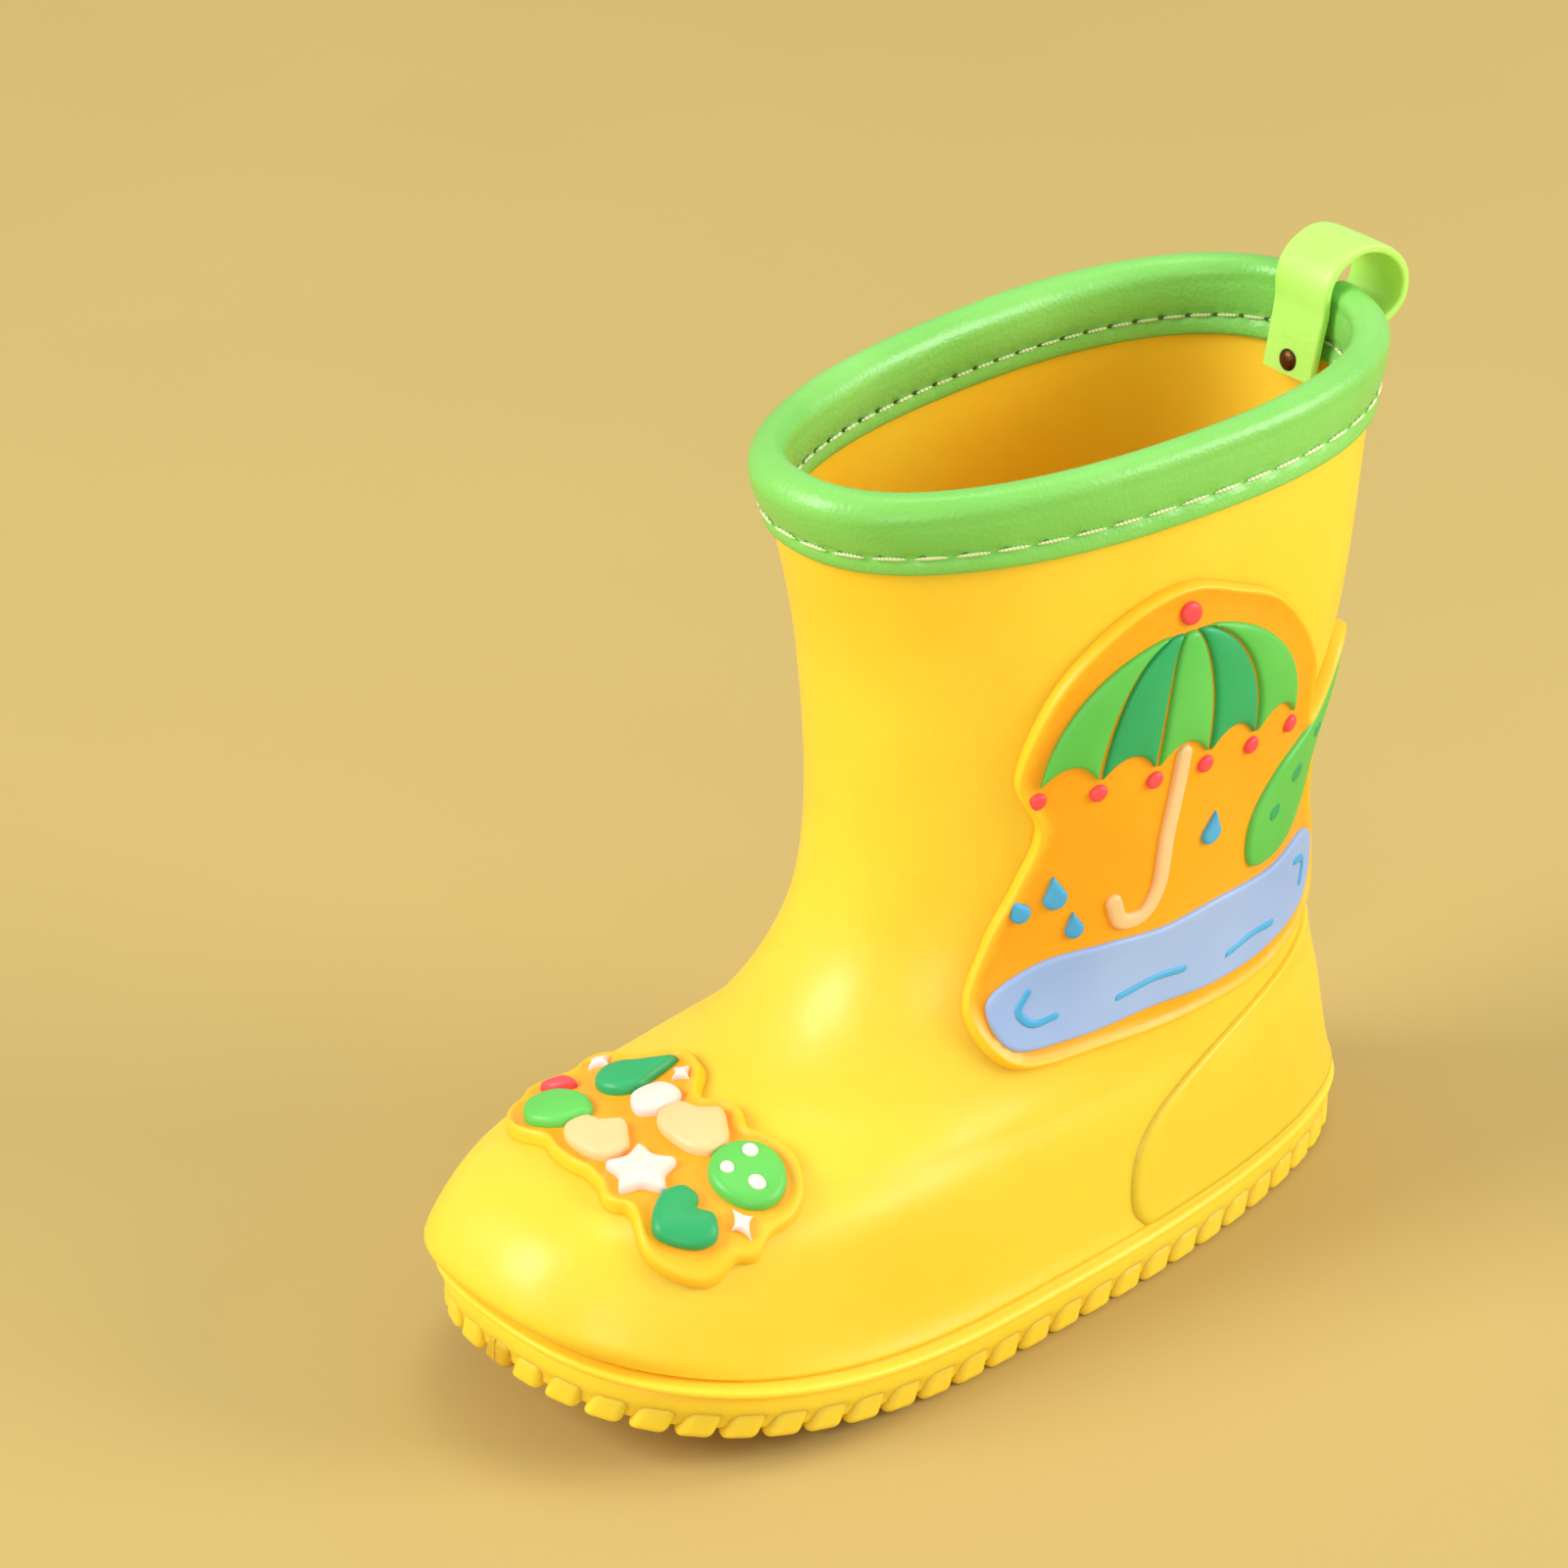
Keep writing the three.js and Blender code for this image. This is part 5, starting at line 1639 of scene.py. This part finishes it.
@dataclass
class SideBadge(Badge):
    """The badge on the outer side: an umbrella, a leaf and drops over a puddle."""

    middle: float = -5.0
    top: float = 36.0
    brim: float = 13.0
    reach: float = 25.0
    gores: int = 5
    seam: float = 0.5
    scallop: float = 3.2

    def rib(self, k: int) -> float:
        """Where a rib ends along the umbrella's brim."""
        return self.middle - self.reach + 2 * self.reach * k / self.gores

    def gore(self, k: int) -> np.ndarray:
        """One cloth panel of the umbrella, between two ribs.

        Args:
            k: The panel's number, from the front.

        Returns:
            The closed outline.
        """
        a = np.linspace(0.2, math.pi / 2, 20)

        def side(end: float) -> np.ndarray:
            """One curved side of the panel."""
            x = self.middle + (end - self.middle) * np.sin(a) + 0.12 * (k - 2)
            return np.stack([x, self.brim + (self.top - self.brim) * np.cos(a)], axis=1)

        half_seam = self.seam / 2 + 0.1
        left, right = side(self.rib(k) + half_seam), side(self.rib(k + 1) - half_seam)
        pull = np.array([(left[-1][0] + right[-1][0]) / 2, self.brim + self.scallop * 2])
        t = np.linspace(0, 1, 14)[1:-1, None]
        hem = (1 - t) ** 2 * right[-1] + 2 * t * (1 - t) * pull + t ** 2 * left[-1]
        return np.vstack([left[::-1], right, hem])

    def build(self) -> None:
        """Builds the plate and every inlay."""
        self.plate("side_badge_plate", Outline.blob([
            (-5, 43.5), (-17, 40.5), (-29, 30), (-34, 14), (-29, 4.5), (-31, -5), (-35, -15), (-37, -26),
            (-27, -36), (-8, -37.5), (14, -38.5), (34, -37.8), (47, -32.5), (48.5, -23), (42, -15), (41, -2),
            (43.5, 9), (45, 18), (39, 17), (28, 8), (24, 22), (14, 36), (5, 40.5)]), "side_badge_base")
        self.umbrella()
        self.leaf()
        self.puddle()
        self.rain()

    def umbrella(self) -> None:
        """The umbrella: its panels in two greens, the rib tips, the finial and the hooked pole."""
        for k in range(self.gores):
            finish = Finishes.DARK_GREEN if k % 2 else Finishes.GREEN
            self.inlay(f"umbrella_panel_{k + 1}", self.gore(k), finish, 0.95, 0.8, crown=0.35)
        for k in range(self.gores + 1):
            tip = Outline.disc(self.rib(k), self.brim - 2.4, 1.5)
            self.inlay(f"umbrella_rib_tip_{k + 1}", tip, Finishes.CORAL, 1.0, 0.9, spacing=0.4)
        finial = Outline.disc(self.middle, self.top + 2.6, 2)
        self.inlay("umbrella_finial", finial, Finishes.CORAL, 1.1, 1.1, spacing=0.4)
        line = [(0, self.brim + 1.2), (0, 0), (0, -11), (-2.4, -15), (-6.4, -15), (-8.4, -11)]
        pole = Outline.stroke([(self.middle + x, y) for x, y in line], 2.8)
        self.inlay("umbrella_pole", pole, Finishes.PEACH, 1.0, 1.0)

    def leaf(self) -> None:
        """The leaf and the spots on it."""
        blade = Outline.blob([(17, -15), (15, -6), (20, 2), (30, 7), (41.5, 15), (37, 2), (34, -8),
                              (27, -15)])
        self.inlay("leaf_blade", blade, Finishes.GREEN, 0.95, 0.9, crown=0.4)
        for k, (x, y, r) in enumerate(((20.5, -6, 1.7), (26, -1, 1.9), (31.5, 4.4, 1.5))):
            self.inlay(f"leaf_spot_{k + 1}", Outline.disc(x, y, r), Finishes.DARK_GREEN, 0.55, 0.5,
                       lift=0.9, spacing=0.4)

    def puddle(self) -> None:
        """The puddle and the ripples on it."""
        water = Outline.blob([
            (-33.5, -25), (-26, -19.5), (-14, -18.5), (-2, -19), (10, -18), (24, -18.5), (37, -18),
            (45.5, -24), (42, -31), (30, -34), (14, -34.5), (0, -33.5), (-16, -34), (-28, -33)])
        self.inlay("puddle", water, Finishes.PUDDLE, 0.85, 0.8)
        ripples = ([(-27, -24), (-28, -27), (-25, -29.5), (-21, -29)], [(-9, -29), (-2, -28), (5, -28.6)],
                   [(16, -30), (22, -29), (28, -29.6)], [(33, -21.5), (37, -23), (37.5, -27)])
        for k, line in enumerate(ripples):
            self.inlay(f"puddle_ripple_{k + 1}", Outline.stroke(line, 1.3), Finishes.WATER, 0.4, 0.5,
                       lift=0.7, spacing=0.35)

    def rain(self) -> None:
        """The rain drops, each with its size and lean."""
        drops = ((-24, -8, 2, 0.2), (-29.5, -10, 1.7, 0.6), (-20, -14.4, 1.6, 0.2), (5, -4, 2, 0))
        for k, drop in enumerate(drops):
            self.inlay(f"rain_drop_{k + 1}", Outline.drop(*drop), Finishes.WATER, 1.0, 0.9, spacing=0.35)


@dataclass
class ToeBadge(Badge):
    """The badge on the vamp: two rows of thick icons with sparkles round them."""

    thick: float = 1.9
    grow: float = 1.1
    margin: float = 3.0

    def icons(self) -> dict[str, tuple[np.ndarray, Finish]]:
        """Every thick icon, by the name of its frame node.

        Returns:
            The outline and the finish of each.
        """
        petals = [(k * TAU / 10, 3.6 if k % 2 else 5.4) for k in range(10)]
        flower = Outline.blob([(7.2 + math.cos(a) * r, -7.4 + math.sin(a) * r) for a, r in petals])
        pebble = Outline.blob([(-9, 3.5), (-8, 8.5), (-4, 9), (-2.6, 4.5), (-5, 1.5)])
        leaf = Outline.blob([(-21.5, -8), (-20.5, -3.5), (-15.5, -1.8), (-11.2, -4), (-12.4, -9),
                             (-17, -11.4)])
        crest = Outline.blob([(-25, -3), (-23.6, 0.8), (-20.4, 0.4), (-22.4, -2.6)])
        heart = Outline.blob([(18.4, -13), (14, -8.4), (14.6, -4.6), (17.4, -4.2), (18.6, -5.6), (20.6, -4),
                              (23, -5.4), (22.4, -9)])
        plain = {
            "toe_icon_raindrop": (Outline.drop(-15, 6, 4.2, -0.3), Finishes.DARK_GREEN),
            "toe_icon_pebble": (pebble, Finishes.WHITE),
            "toe_icon_cloud_upper": (Outline.cloud(4.6, 5.6, 12.4), Finishes.PEACH),
            "toe_icon_ball": (Outline.disc(17.6, 5.6, 5.6), Finishes.GREEN),
            "toe_icon_leaf": (leaf, Finishes.GREEN),
            "toe_leaf_crest": (crest, Finishes.CORAL),
            "toe_icon_cloud_lower": (Outline.cloud(-4.4, -7, 11.4), Finishes.PEACH),
            "toe_icon_flower": (flower, Finishes.WHITE),
            "toe_icon_heart": (heart, Finishes.DARK_GREEN),
        }
        return {name: (Outline.grown(shape, self.grow), finish) for name, (shape, finish) in plain.items()}

    def build(self) -> None:
        """Builds the plate, the icons and their marks."""
        icons = self.icons()
        stars = ((-23.4, 7.6, 2.6), (-8.4, 13, 2.4), (23.6, -0.4, 2.4))
        sparkles = [Outline.sparkle(*star) for star in stars]
        around = [shape for shape, _ in icons.values()] + [Outline.grown(star, 0.5) for star in sparkles]
        self.plate("toe_badge_plate", Outline.hug(around, self.margin), "toe_badge_base")
        for name, (shape, finish) in icons.items():
            self.inlay(name, shape, finish, self.thick, 1.4, crown=0.35, spacing=0.4)
        for k, spot in enumerate(((15.4, 8, 1.3), (20.2, 5.2, 1.4), (15.8, 3, 1.1))):
            self.inlay(f"toe_ball_spot_{k + 1}", Outline.disc(*spot), Finishes.WHITE, 0.5, 0.5,
                       lift=2.05, spacing=0.3)
        for k, star in enumerate(sparkles):
            self.inlay(f"toe_sparkle_{k + 1}", star, Finishes.WHITE, 1.3, 0.8, spacing=0.3)


# ---------------------------------------------------------------- studio
@dataclass(frozen=True)
class Lamp:
    """A soft round light, placed by the camera's side, front and height, with its watts and its tint."""

    name: str
    side: float
    front: float
    high: float
    size: float
    power: float
    tint: tuple[float, float, float]


@dataclass
class Studio:
    """The camera, the sand-coloured floor and the soft lights. Lengths are in metres."""

    LAMPS = (
        Lamp("key", -1.9, 0.6, 1.4, 1.3, 45.0, (1.0, 0.985, 0.95)),
        Lamp("fill", 1.9, 0.25, 0.9, 1.2, 31.0, (1.0, 0.98, 0.95)),
        Lamp("top", 0.1, -0.3, 2.1, 0.9, 8.0, (1.0, 0.99, 0.97)),
        Lamp("front", -0.1, 2.2, 0.45, 1.0, 10.0, (1.0, 0.97, 0.92)),
    )
    azimuth: float = 52.0
    elevation: float = 28.0
    distance: float = 0.92
    aside: float = -0.0213
    height: float = 0.089
    roll: float = 0.45
    lens: float = 129.4
    aim: float = 0.07
    sky: float = 0.63
    floor_reach: float = 6.0

    def axes(self) -> tuple[Vector, Vector, Vector]:
        """The camera's right, up and back directions."""
        a, e = math.radians(self.azimuth), math.radians(self.elevation)
        back = Vector((math.sin(a) * math.cos(e), -math.cos(a) * math.cos(e), math.sin(e)))
        right = Vector((math.cos(a), math.sin(a), 0.0))
        return right, back.cross(right), back

    def camera(self) -> None:
        """Places the camera and makes it the scene's."""
        right, up, back = self.axes()
        turn = Matrix.Rotation(math.radians(-self.roll), 3, back)
        data = bpy.data.cameras.new("camera")
        data.lens, data.sensor_width, data.sensor_fit = self.lens, 36.0, "AUTO"
        data.clip_start, data.clip_end = 0.05, 20.0
        camera = put_in_scene("camera", data)
        target = right * self.aside + Vector((0, 0, self.height))
        basis = Matrix((turn @ right, turn @ up, back)).transposed()
        camera.matrix_world = Matrix.Translation(target + back * self.distance) @ basis.to_4x4()
        bpy.context.scene.camera = camera

    def light(self, lamp: Lamp) -> None:
        """Adds one lamp, aimed at the boot.

        Args:
            lamp: The lamp.
        """
        right, _, back = self.axes()
        flat = Vector((back.x, back.y, 0)).normalized()
        place = right * lamp.side + flat * lamp.front + Vector((0, 0, lamp.high))
        data = bpy.data.lights.new(lamp.name, "AREA")
        data.shape, data.size, data.energy, data.color = "DISK", lamp.size, lamp.power, lamp.tint
        light = put_in_scene(lamp.name, data)
        light.location = place
        light.rotation_euler = (Vector((0, 0, self.aim)) - place).to_track_quat("-Z", "Y").to_euler()

    def world(self) -> None:
        """Sets the even warm light from all round."""
        world = bpy.data.worlds.new("studio")
        world.use_nodes = True
        background = world.node_tree.nodes["Background"]
        background.inputs["Color"].default_value = (1.0, 0.96, 0.88, 1.0)
        background.inputs["Strength"].default_value = self.sky
        bpy.context.scene.world = world
        bpy.context.scene.view_settings.view_transform = "Standard"

    def floor(self) -> None:
        """Lays the sheet of paper that the boot stands on."""
        reach = self.floor_reach
        mesh = bpy.data.meshes.new("floor")
        corners = [(-reach, -reach, 0), (reach, -reach, 0), (reach, reach, 0), (-reach, reach, 0)]
        mesh.from_pydata(corners, [], [(0, 1, 2, 3)])
        tree = Tree("floor_paper")
        grain = tree.remap(tree.noise(9, 3.0), 0.3, 0.7, 0.0, 1.0)
        tree.surface({"Base Color": tree.blend(grain, srgb((188, 165, 99)), srgb((186, 163, 97))),
                      "Roughness": 0.85})
        mesh.materials.append(tree.material)
        put_in_scene("floor", mesh)

    def build(self) -> None:
        """Sets the camera, the lights, the world and the floor."""
        self.camera()
        for lamp in self.LAMPS:
            self.light(lamp)
        self.world()
        self.floor()


def main() -> None:
    """Builds the studio and every piece of the boot."""
    logging.basicConfig(level=logging.INFO, format="%(name)s %(message)s")
    Studio().build()
    copies = AlongPath()
    Shell().build()
    Outsole(copies).build()
    Collar(copies).build()
    PullLoop().build()
    Insole().build()
    SideBadge(LAST.on_side).build()
    ToeBadge(LAST.on_toe).build()
    bpy.context.view_layer.update()


if __name__ == "__main__":
    main()
